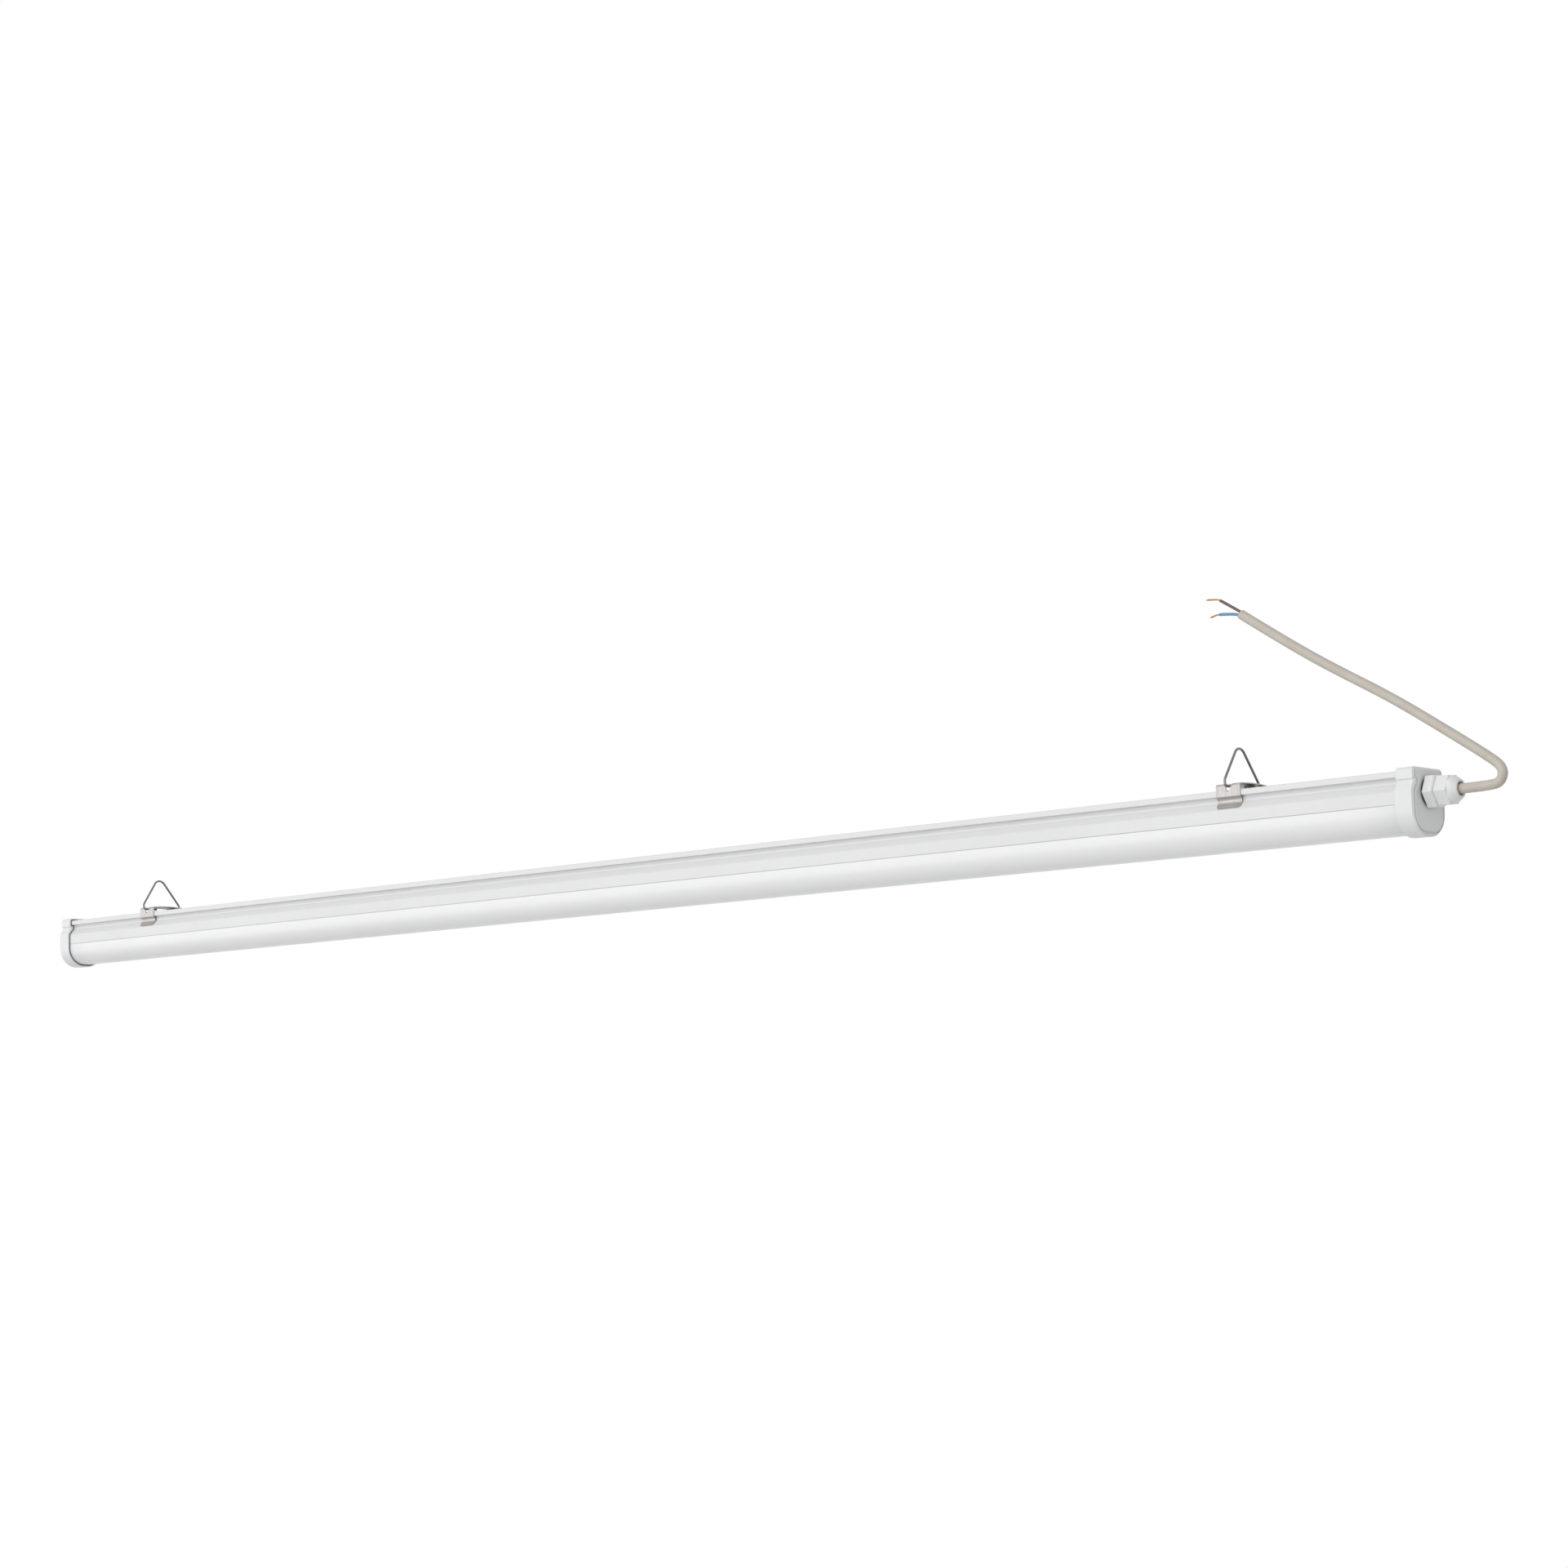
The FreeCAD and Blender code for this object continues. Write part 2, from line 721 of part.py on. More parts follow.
def build_gland_nut():
    """Domed cap nut: foot, hexagon, round nose and a mouth for the cable."""
    foot_end = nut_start + nut_foot_length
    hex_end = nut_start + nut_hex_length
    hexagonal = rounded_bar(nut_corners, 0, foot_end, hex_end, gland_back_round, nut_hex_round)
    hexagonal.rotate(gland_centre, X_AXIS, nut_turn)
    nose_start = (foot_end + hex_end) / 2
    nose = turned([
        (nut_start, 0, 0),
        (nut_start, nut_foot_radius, 0),
        (nose_start, nut_foot_radius, 0),
        (nose_start, nut_round_radius, 0),
        (nut_end - nut_dome_length, nut_round_radius, nut_dome_radius),
        (nut_end, nut_nose_radius, nut_nose_round),
        (nut_end, 0, 0),
    ])
    thread = gland_collar_radius + nut_thread_gap
    thread_end = nut_start + gland_sleeve_length + overrun
    hollow = turned([
        (nut_start - overrun, 0, 0),
        (nut_start - overrun, thread, 0),
        (thread_end, thread, 0),
        (nut_end - nut_wall_end, nut_mouth_radius, 0),
        (nut_end - nut_mouth_bevel, nut_mouth_radius, 0),
        (nut_end, nut_mouth_radius + nut_mouth_bevel, 0),
        (nut_end + overrun, nut_mouth_radius + nut_mouth_bevel, 0),
        (nut_end + overrun, 0, 0),
    ])
    return joined([hexagonal, nose]).cut(hollow)


def build_gland_seal():
    """Rubber ring squeezed around the cable."""
    end = nut_start + gland_sleeve_length
    return ring(gland_bore_radius - slip_gap, cable_radius + slip_gap, end - seal_length, end)


def build_gland_washer():
    """Flat ring between the gland's flange and the end cap."""
    inner = gland_thread_radius + gland_hole_gap
    return ring(washer_radius, inner, gland_inner_face, gland_face)


def build_lock_nut():
    """Nut on the gland's thread inside the end cap."""
    start = cap_floor - lock_nut_thickness
    nut = hexagon(lock_nut_flats, start, lock_nut_thickness, gland_height)
    hole = Vector(start - overrun, 0, gland_height)
    length = lock_nut_thickness + 2 * overrun
    return nut.cut(rod(gland_thread_radius + gland_hole_gap, hole, length, X_AXIS))


def board_start(index):
    """Left end of a light board."""
    return -tray_length / 2 + board_margin + index * (board_length + board_gap)


def rivet_places():
    """Centres of the rivets, on alternate sides of each board."""
    places = []
    for index in range(board_count):
        side = 1
        for share in rivet_shares:
            places.append((board_start(index) + share * board_length, side * rivet_offset))
            side = -side
    return places


def screw_places():
    """Centres along X of the screws through the driver's ears and the terminal block."""
    ear = driver_ear_length / 2
    return [driver_start - ear, driver_end + ear, terminal_start + terminal_length / 2]


def build_tray():
    """Folded channel that slides along the housing's ledges."""
    mid = tray_floor + tray_thickness / 2
    edge = half_tray - tray_thickness / 2
    top = tray_floor + tray_side_height
    line = [(-edge, top), (-edge, mid), (edge, mid), (edge, top)]
    radii = [0, tray_bend_radius, tray_bend_radius, 0]
    tray = sheet_strip(line, radii, tray_thickness, -tray_length / 2, tray_length)
    holes = [rod(screw_radius, Vector(x, 0, tray_floor - overrun), tray_thickness + 2 * overrun, Z_AXIS)
             for x in screw_places()]
    holes.append(rod(outlet_hole_radius, Vector(outlet_place(), 0, tray_floor - overrun),
                     tray_thickness + 2 * overrun, Z_AXIS))
    for x, y in rivet_places():
        holes.append(rod(rivet_radius, Vector(x, y, tray_floor - overrun),
                         tray_thickness + 2 * overrun, Z_AXIS))
    return tray.cut(holes)


def outlet_place():
    """Where along X the light boards' leads go down through the tray."""
    return driver_start - driver_ear_length - outlet_ear_gap - outlet_hole_radius


def build_board(index):
    """Flat board under the tray, with its rivet holes."""
    start = board_start(index)
    half = board_width / 2
    board = box(start, start + board_length, -half, half, board_floor, tray_floor)
    holes = [rod(rivet_radius, Vector(x, y, board_floor - overrun), board_thickness + 2 * overrun, Z_AXIS)
             for x, y in rivet_places() if start < x < start + board_length]
    return board.cut(holes)


def build_chips(index):
    """Row of light chips on the underside of a board."""
    chips = []
    pitch = board_length / chips_per_board
    for chip in range(chips_per_board):
        x = board_start(index) + pitch * (chip + chip_start_share)
        chips.append(box(x - chip_length / 2, x + chip_length / 2, -chip_width / 2, chip_width / 2,
                         board_floor - chip_height, board_floor))
    return chips


def build_rivets():
    """Headed rivets up through board and tray, flush with the tray's top."""
    rivets = []
    for x, y in rivet_places():
        shank = rod(rivet_radius, Vector(x, y, board_floor), tray_top - board_floor, Z_AXIS)
        head = rod(rivet_head_radius, Vector(x, y, board_floor - rivet_head_height),
                   rivet_head_height, Z_AXIS)
        rivets.append(joined([shank, head]))
    return rivets


def build_links():
    """Small connectors that bridge the gaps between the boards."""
    links = []
    for index in range(1, board_count):
        middle = board_start(index) - board_gap / 2
        for side in (1, -1):
            y = side * rivet_offset
            links.append(box(middle - link_length / 2, middle + link_length / 2,
                             y - link_width / 2, y + link_width / 2,
                             board_floor - link_height, board_floor))
    return links


def build_driver_base():
    """Open box with an ear at each end and wire holes in its end walls."""
    half = driver_width / 2
    outer = box(driver_start, driver_end, -half, half, tray_top, driver_top)
    inner = box(driver_start + driver_wall, driver_end - driver_wall, driver_wall - half,
                half - driver_wall, tray_top + driver_wall, driver_top + overrun)
    shell = outer.cut(inner)
    posts = []
    floor = tray_top + driver_wall
    for x in (driver_start + driver_wall, driver_end - driver_wall - driver_post_size):
        for y in (driver_wall - half, half - driver_wall - driver_post_size):
            posts.append(box(x, x + driver_post_size, y, y + driver_post_size,
                             floor, floor + driver_board_lift))
    ear_top = tray_top + driver_ear_thickness
    ears = [
        box(driver_start - driver_ear_length, driver_start, -half, half, tray_top, ear_top),
        box(driver_end, driver_end + driver_ear_length, -half, half, tray_top, ear_top),
    ]
    solid = joined([shell] + posts + ears)
    holes = []
    for x in screw_places()[:2]:
        holes.append(rod(screw_radius, Vector(x, 0, tray_top - overrun),
                         driver_ear_thickness + 2 * overrun, Z_AXIS))
    for x in (driver_start - overrun, driver_end - driver_wall - overrun):
        for y in (-lead_spacing / 2, lead_spacing / 2):
            holes.append(rod(lead_radius + lead_gap, Vector(x, y, lead_axis),
                             driver_wall + 2 * overrun, X_AXIS))
    return solid.cut(holes)


def build_driver_lid():
    """Flat lid with two lips that drop inside the box's long walls."""
    half = driver_width / 2
    plate = box(driver_start, driver_end, -half, half, driver_top, driver_top + driver_wall)
    outer = half - driver_wall - slip_gap
    lip_end = driver_wall + driver_post_size
    lip = box(driver_start + lip_end, driver_end - lip_end, outer - driver_wall, outer,
              driver_top - driver_lid_lap, driver_top)
    return joined([plate] + both_sides(lip))


def build_driver_board():
    """Circuit board on the box's posts."""
    inset = driver_wall + lead_gap
    half = driver_width / 2 - inset
    floor = tray_top + driver_wall + driver_board_lift
    return box(driver_start + inset, driver_end - inset, -half, half,
               floor, floor + driver_board_thickness)


def on_driver(share):
    """Place along X at a share of the driver's length."""
    return driver_start + driver_length * share


def build_transformer():
    """Core block around a wider winding."""
    x = on_driver(transformer_share)
    half = transformer_width / 2
    core = box(x - transformer_length / 2, x + transformer_length / 2, -half, half,
               driver_board_top, driver_board_top + transformer_height)
    winding = box(x - transformer_length / 2 - transformer_bulge,
                  x + transformer_length / 2 + transformer_bulge,
                  transformer_bulge - half, half - transformer_bulge,
                  driver_board_top, driver_board_top + transformer_height - transformer_bulge)
    return joined([core, winding])


def build_choke():
    """Wound ring lying along the board, with its open middle."""
    x = on_driver(choke_share) - choke_length / 2
    start = Vector(x, 0, driver_board_top + choke_radius)
    ring_solid = rod(choke_radius, start, choke_length, X_AXIS)
    hole = rod(choke_radius / 2, start - X_AXIS * overrun, choke_length + 2 * overrun, X_AXIS)
    return ring_solid.cut(hole)


def build_capacitors():
    """Two cans lying on the board."""
    cans = []
    for share in capacitor_shares:
        start = Vector(on_driver(share), 0, driver_board_top + capacitor_radius)
        cans.append(rod(capacitor_radius, start, capacitor_length, X_AXIS))
    return cans


def build_tray_screws():
    """Pan-head screws through the driver's ears and the terminal block."""
    screws = []
    seats = [driver_ear_thickness, driver_ear_thickness, terminal_top - tray_top]
    for x, seat in zip(screw_places(), seats):
        shank = rod(screw_radius, Vector(x, 0, tray_floor), tray_thickness + seat, Z_AXIS)
        head = rod(screw_head_radius, Vector(x, 0, tray_top + seat), screw_head_height, Z_AXIS)
        screws.append(joined([shank, head]))
    return screws


def terminal_wells():
    """Centres of the four clamping screws of the terminal block."""
    places = []
    for x in (terminal_start + terminal_well_inset, terminal_end - terminal_well_inset):
        for y in (-lead_spacing / 2, lead_spacing / 2):
            places.append((x, y))
    return places


def build_terminal_block():
    """Two-pole block with a way at each end of each pole and wells for the screws."""
    half = terminal_width / 2
    top = terminal_top
    block = box(terminal_start, terminal_end, -half, half, tray_top, top)
    cuts = [rod(screw_radius, Vector(screw_places()[-1], 0, tray_top - overrun),
                top - tray_top + 2 * overrun, Z_AXIS)]
    for y in (-lead_spacing / 2, lead_spacing / 2):
        for x in (terminal_start - overrun, terminal_end - terminal_way_depth):
            cuts.append(rod(lead_radius + lead_gap, Vector(x, y, lead_axis),
                            terminal_way_depth + overrun, X_AXIS))
    for x, y in terminal_wells():
        cuts.append(rod(terminal_well_radius, Vector(x, y, top - terminal_well_depth),
                        terminal_well_depth + overrun, Z_AXIS))
    return block.cut(cuts)


def build_terminal_screws():
    """Clamping screws at the bottom of the wells."""
    floor = terminal_top - terminal_well_depth
    return [rod(terminal_screw_radius, Vector(x, y, floor), terminal_screw_height, Z_AXIS)
            for x, y in terminal_wells()]


def lead(points):
    """One insulated lead inside the body."""
    radii = [0] + [lead_bend_radius] * (len(points) - 2) + [0]
    return tube(points, radii, lead_radius)


def inlet_lead(side):
    """Core from the cable's inner end to the terminal block."""
    near = side * core_offset
    far = side * lead_spacing / 2
    end = terminal_end - terminal_way_depth + lead_gap
    return lead([
        Vector(cable_inner_end, near, gland_height),
        Vector(cable_inner_end - lead_run, near, gland_height),
        Vector(terminal_end + lead_run, far, lead_axis),
        Vector(end, far, lead_axis),
    ])


def driver_lead(side):
    """Lead from the terminal block into the driver."""
    y = side * lead_spacing / 2
    start = Vector(terminal_start + terminal_way_depth - lead_gap, y, lead_axis)
    length = start.x - driver_end + driver_wall + lead_end
    return rod(lead_radius, start, length, -X_AXIS)


def outlet_lead(side):
    """Lead from the driver down through the tray to the light board."""
    y = side * lead_spacing / 2
    near = side * outlet_spacing / 2
    x = outlet_place()
    return lead([
        Vector(driver_start + driver_wall + lead_end, y, lead_axis),
        Vector(driver_start - lead_bend_radius, y, lead_axis),
        Vector(x, near, lead_axis),
        Vector(x, near, tray_floor),
    ])


def build_clip(place):
    """Spring clip: arched plate, two legs waisted under the flange, flared lips."""
    side = clip_half_width - clip_sheet / 2
    plate = clip_plate_height - clip_sheet / 2
    waist = side - clip_waist_reach
    right = [
        (side + clip_lip_reach, groove_top - clip_lip_drop),
        (waist, groove_top - clip_waist_drop),
        (side, groove_top - clip_knee_drop),
        (side, plate),
    ]
    left = [(-corner[0], corner[1]) for corner in reversed(right)]
    line = right + [(0, plate + clip_arch)] + left
    arch_half_turn = math.atan2(clip_arch, side)
    arch_radius = clip_arch_share * math.hypot(side, clip_arch) / math.tan(arch_half_turn)
    leg_radii = [0, clip_waist_radius, clip_knee_radius, clip_corner_radius]
    radii = leg_radii + [arch_radius] + list(reversed(leg_radii))
    start = place - clip_length / 2
    strip = sheet_strip(line, radii, clip_sheet, start, clip_length)
    lip_level = groove_top - clip_lip_drop + clip_sheet
    lip_ends = [edge for edge in strip.Edges
                if edge.BoundBox.ZMax < lip_level and edge.BoundBox.XLength < clip_sheet]
    clip = strip.makeFillet(clip_lip_round, lip_ends)
    half_slot = clip_slot_width / 2
    half_mouth = clip_slot_mouth / 2
    top = clip_plate_height + clip_arch + overrun
    slot_floor = wire_axis_height - clip_slot_drop + half_slot
    flare_start = clip_plate_height - clip_slot_flare
    slot_start = side - clip_sheet / 2 - clip_slot_depth
    depth = clip_slot_depth + clip_sheet + overrun
    outline = [
        Vector(place - half_slot, slot_start, slot_floor),
        Vector(place + half_slot, slot_start, slot_floor),
        Vector(place + half_slot, slot_start, flare_start),
        Vector(place + half_mouth, slot_start, clip_plate_height),
        Vector(place + half_mouth, slot_start, top),
        Vector(place - half_mouth, slot_start, top),
        Vector(place - half_mouth, slot_start, clip_plate_height),
        Vector(place - half_slot, slot_start, flare_start),
    ]
    slot = Part.Face(Part.makePolygon(outline + [outline[0]])).extrude(Y_AXIS * depth)
    slot_end = rod(half_slot, Vector(place, slot_start, slot_floor), depth, Y_AXIS)
    hole = rod(clip_screw_radius, Vector(place, 0, plate - overrun), top - plate + overrun, Z_AXIS)
    return clip.cut(both_sides(slot) + both_sides(slot_end) + [hole])


def build_hanger(place, lean):
    """Bent wire triangle whose bar passes under the clip's plate, leaning about the bar."""
    half = hanger_width / 2
    shoulder = wire_axis_height + hanger_shoulder
    points = [
        Vector(place, -hanger_bar_opening / 2, wire_axis_height),
        Vector(place, -half, wire_axis_height),
        Vector(place, -half, shoulder),
        Vector(place, 0, wire_axis_height + hanger_rise),
        Vector(place, half, shoulder),
        Vector(place, half, wire_axis_height),
        Vector(place, hanger_bar_opening / 2, wire_axis_height),
    ]
    radii = [0, hanger_foot_radius, hanger_shoulder_radius, hanger_top_radius,
             hanger_shoulder_radius, hanger_foot_radius, 0]
    hanger = tube(points, radii, wire_radius)
    hanger.rotate(Vector(place, 0, wire_axis_height), Y_AXIS, lean)
    return hanger


def build_cable_inlet():
    """Straight stretch of the mains cable clamped in the gland."""
    return rod(cable_radius, cable_exit, cable_inner_length, -X_AXIS)


def stripped_ends(cable_points):
    """The two cores and their copper ends, by name, with their centre lines."""
    end = cable_points[-1]
    along = unit(end - cable_points[-2])
    across = unit(Y_AXIS.cross(along))
    routes = {
        "live": (1, live_core_route, live_copper_route),
        "neutral": (-1, neutral_core_route, neutral_copper_route),
    }
    pieces = {}
    for name, (side, core_route, copper_route) in routes.items():
        start = end + across * (side * core_offset)
        core = [start, start + along * core_lead] + placed(core_route, end)
        onward = unit(core[-1] - core[-2])
        copper = [core[-1], core[-1] + onward * copper_lead] + placed(copper_route, end)
        pieces["core_" + name] = tube(core, soft_radii(core), core_radius)
        pieces["copper_" + name] = tube(copper, soft_radii(copper), copper_radius)
    return pieces


def main():
    """Build every piece and write it out."""
    os.makedirs("parts", exist_ok=True)
    shell = body_shell()
    save("housing", build_housing(shell))
    save("diffuser", build_diffuser(shell))
    cap = build_end_cap()
    gasket = build_gasket()
    save("end_cap_feed", build_feed_cap(cap))
    save("end_cap_blind", at_other_end(cap))
    save("gasket_feed", gasket)
    save("gasket_blind", at_other_end(gasket))
    save("gland_body", build_gland_body())
    save("gland_washer", build_gland_washer())
    save("gland_seal", build_gland_seal())
    save("gland_nut", build_gland_nut())
    save("gland_lock_nut", build_lock_nut())
    save("gear_tray", build_tray())
    for index in range(board_count):
        save("led_board_" + str(index + 1), build_board(index))
        save_group("led_chips_" + str(index + 1), build_chips(index))
    save_group("board_rivets", build_rivets())
    save_group("board_links", build_links())
    save("driver_base", build_driver_base())
    save("driver_lid", build_driver_lid())
    save("driver_board", build_driver_board())
    save("driver_transformer", build_transformer())
    save("driver_choke", build_choke())
    save_group("driver_capacitors", build_capacitors())
    save_group("tray_screws", build_tray_screws())
    save("terminal_block", build_terminal_block())
    save_group("terminal_screws", build_terminal_screws())
    save("lead_live_in", inlet_lead(1))
    save("lead_neutral_in", inlet_lead(-1))
    save("lead_live_driver", driver_lead(1))
    save("lead_neutral_driver", driver_lead(-1))
    save("lead_plus", outlet_lead(1))
    save("lead_minus", outlet_lead(-1))
    save("clip_right", build_clip(clip_right_place))
    save("clip_left", build_clip(clip_left_place))
    save("hanger_right", build_hanger(clip_right_place, hanger_right_lean))
    save("hanger_left", build_hanger(clip_left_place, hanger_left_lean))
    save("cable_inlet", build_cable_inlet())
    cable_points = placed(cable_route, cable_exit)
    radii = soft_radii(cable_points)
    cable = tube(cable_points, radii, cable_radius)
    save("cable", cable)
    length = rounded_wire(cable_points, radii).Length
    print("cable radii", [round(radius, 1) for radius in radii[1:-1]])
    print("cable length", round(length, 1), "volume share",
          round(cable.Volume / (math.pi * cable_radius ** 2 * length), 4))
    for name, piece in stripped_ends(cable_points).items():
        save(name, piece)
    print("hanging line", round(hang_height, 6), "above the underside of the diffuser")


main()
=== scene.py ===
"""Looks, cable, studio and camera for the hanging tube light."""
import logging
import math
import random
from dataclasses import dataclass, field
from enum import Enum

import bmesh
import bpy
from mathutils import Matrix, Vector


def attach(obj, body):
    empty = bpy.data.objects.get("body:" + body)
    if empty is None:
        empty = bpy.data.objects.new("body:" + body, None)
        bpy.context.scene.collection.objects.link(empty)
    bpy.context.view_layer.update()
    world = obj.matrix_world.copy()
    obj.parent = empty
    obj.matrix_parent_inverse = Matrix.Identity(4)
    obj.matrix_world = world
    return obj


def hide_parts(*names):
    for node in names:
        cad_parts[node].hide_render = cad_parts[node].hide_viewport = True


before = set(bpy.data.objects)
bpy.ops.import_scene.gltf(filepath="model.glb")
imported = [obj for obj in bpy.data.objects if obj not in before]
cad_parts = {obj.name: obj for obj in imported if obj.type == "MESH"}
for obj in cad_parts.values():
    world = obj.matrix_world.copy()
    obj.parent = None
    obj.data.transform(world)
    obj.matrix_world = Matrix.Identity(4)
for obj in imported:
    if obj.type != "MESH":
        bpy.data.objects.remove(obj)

Colour = tuple[float, float, float]
Point = tuple[float, float, float]
Pair = tuple[float, float]
Socket = bpy.types.NodeSocket
Sockets = dict[str, Socket]
Feed = float | tuple[float, ...] | Socket
Input = tuple[str, float | tuple[float, ...] | None]

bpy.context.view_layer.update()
LOG = logging.getLogger("tube_light")
MM = 0.001
SAME_PLACE = 1e-7  # in metres
CURVE_ORDER, CURVE_STEPS = 3, 16
TUBE_STEPS, WIRE_STEPS = 7, 2  # around them
FIXTURE = "fixture"  # the body that the cable rides on
WHITE: Colour = (1.0, 1.0, 1.0)
DUST_TONE: Colour = (0.5, 0.48, 0.45)
# Painted shadow and fine dirt in the joint's line.
SEAM_TONE: Colour = (0.60, 0.60, 0.605)
GRAIN_REACH: Pair = (0.2, 0.8)  # where the grain's mask mostly lies
MIX_SHARE, MIX_FIRST, MIX_SECOND, MIX_RESULT = 0, 6, 7, 2  # a Mix node's colour sockets
PLACE: Input = ("NodeSocketVector", None)


def number(value: float) -> Input:
    """A group's input for a number, with the number that it has by itself."""
    return ("NodeSocketFloat", value)


class Run(Enum):
    """The direction that lines on a surface follow, as the stretch of their pattern."""

    ALONG_TUBE = (0.012, 1.0, 1.0)
    AROUND_TUBE = (1.0, 0.03, 0.03)
    EVERYWHERE = (1.0, 1.0, 1.0)


class Sketch:
    """A node tree being drawn: it adds nodes and feeds their sockets."""

    def __init__(self, tree: bpy.types.NodeTree) -> None:
        """Start drawing in a tree."""
        self.tree = tree

    def feed(self, socket: Socket, value: Feed) -> None:
        """Link another socket to this one, or set its value.

        Args:
            socket: the input to feed.
            value: a socket, a number or a tuple of numbers.
        """
        if isinstance(value, bpy.types.NodeSocket):
            self.tree.links.new(value, socket)
        elif socket.type == "RGBA":
            socket.default_value = (*value[:3], 1.0)
        else:
            socket.default_value = value

    def add(
        self, kind: str, feeds: dict[str | int, Feed] | None = None, **settings: object
    ) -> bpy.types.Node:
        """Add a node.

        Args:
            kind: Blender's name of the node type.
            feeds: inputs by name or number, with what feeds them.
            settings: the node's own options.

        Returns:
            The node.
        """
        node = self.tree.nodes.new(kind)
        for name, value in settings.items():
            setattr(node, name, value)
        for key, value in (feeds or {}).items():
            self.feed(node.inputs[key], value)
        return node

    def math(self, operation: str, first: Feed, second: Feed = 0.0) -> Socket:
        """Socket with the result of an operation, by Blender's name of it."""
        node = self.add("ShaderNodeMath", {0: first, 1: second}, operation=operation)
        return node.outputs[0]

    def times(self, first: Feed, second: Feed) -> Socket:
        """Socket with the product of two values."""
        return self.math("MULTIPLY", first, second)

    def plus(self, value: Feed, extra: Feed, share: float) -> Socket:
        """Socket with a value and a share of another on top."""
        return self.math("ADD", value, self.times(extra, share))

    def total(self, first: Feed, second: Feed, shares: Pair) -> Socket:
        """Socket with the sum of a share of each of two values."""
        return self.plus(self.times(first, shares[0]), second, shares[1])

    def span(
        self, value: Feed, low: float, high: float, start: Feed = 0.0, end: Feed = 1.0
    ) -> Socket:
        """Socket that carries a value from low and high to start and end, held there."""
        feeds = {"Value": value, "From Min": low, "From Max": high, "To Min": start, "To Max": end}
        return self.add("ShaderNodeMapRange", feeds, clamp=True).outputs["Result"]

    def blend(self, share: Feed, first: Feed, second: Feed) -> Socket:
        """Socket with a colour between two.

        Args:
            share: 0 for the first colour, 1 for the second.
            first: the first colour.
            second: the second colour.

        Returns:
            The output socket.
        """
        feeds = {MIX_SHARE: share, MIX_FIRST: first, MIX_SECOND: second}
        node = self.add("ShaderNodeMix", feeds, data_type="RGBA", clamp_factor=True)
        return node.outputs[MIX_RESULT]

    def stretch(self, vector: Feed, by: Feed) -> Socket:
        """Socket with a vector multiplied part by part."""
        node = self.add("ShaderNodeVectorMath", {0: vector, 1: by}, operation="MULTIPLY")
        return node.outputs[0]

    def part(self, vector: Feed, axis: str) -> Socket:
        """Socket with a vector's part along one axis."""
        return self.add("ShaderNodeSeparateXYZ", {0: vector}).outputs[axis]

    def noise(
        self, vector: Feed, scale: Feed, detail: float = 2.0, roughness: float = 0.5
    ) -> Socket:
        """Socket with soft noise around one half, with so many features per metre."""
        feeds = {"Vector": vector, "Scale": scale, "Detail": detail, "Roughness": roughness}
        return self.add("ShaderNodeTexNoise", feeds).outputs[0]

    def cells(self, vector: Feed, scale: Feed, **settings: str) -> Socket:
        """Socket with the distance to the nearest of points, so many per metre."""
        node = self.add("ShaderNodeTexVoronoi", {"Vector": vector, "Scale": scale}, **settings)
        return node.outputs["Distance"]


class Effect:
    """A surface effect, drawn once as a node group and placed in many materials."""

    title: str = ""
    inputs: dict[str, Input] = {}
    outputs: tuple[str, ...] = ("Mask", "Height")

    def draw(self, sketch: Sketch, given: Sockets) -> Sockets:
        """Draw the effect.

        Args:
            sketch: the group's tree.
            given: the group's inputs.

        Returns:
            What feeds each of the group's outputs.
        """
        raise NotImplementedError

    def group(self) -> bpy.types.NodeTree:
        """The effect's node group, made on first use.

        Returns:
            The group's tree.
        """
        found = bpy.data.node_groups.get(self.title)
        if found:
            return found
        tree = bpy.data.node_groups.new(self.title, "ShaderNodeTree")
        for name, (kind, default) in self.inputs.items():
            socket = tree.interface.new_socket(name, in_out="INPUT", socket_type=kind)
            if default is not None:
                socket.default_value = default
        for name in self.outputs:
            tree.interface.new_socket(name, in_out="OUTPUT", socket_type="NodeSocketFloat")
        sketch = Sketch(tree)
        entry = sketch.add("NodeGroupInput")
        leave = sketch.add("NodeGroupOutput")
        given = {name: entry.outputs[name] for name in self.inputs}
        for name, socket in self.draw(sketch, given).items():
            tree.links.new(socket, leave.inputs[name])
        return tree

    def place(self, sketch: Sketch, **feeds: Feed) -> Sockets:
        """Place the effect in a material.

        Args:
            sketch: the material's tree.
            feeds: what feeds the group's inputs.

        Returns:
            The group's outputs by name.
        """
        node = sketch.add("ShaderNodeGroup", node_tree=self.group())
        for name, value in feeds.items():
            sketch.feed(node.inputs[name], value)
        return {name: node.outputs[name] for name in self.outputs}


class Grain(Effect):
    """The fine, even grain that a mould or a die leaves."""

    title = "grain"
    inputs = {"Vector": PLACE, "Scale": number(2500.0), "Depth": number(0.3)}
    shares = (0.6, 0.4)  # of the soft noise and of the pits

    def draw(self, sketch: Sketch, given: Sockets) -> Sockets:
        """Draw pits on soft noise.

        Args:
            sketch: the tree.
            given: the inputs.

        Returns:
            What feeds the outputs.
        """
        noise = sketch.noise(given["Vector"], given["Scale"], detail=3.0, roughness=0.6)
        pits = sketch.cells(given["Vector"], given["Scale"])
        total = sketch.total(noise, pits, self.shares)
        return {"Mask": total, "Height": sketch.times(total, given["Depth"])}


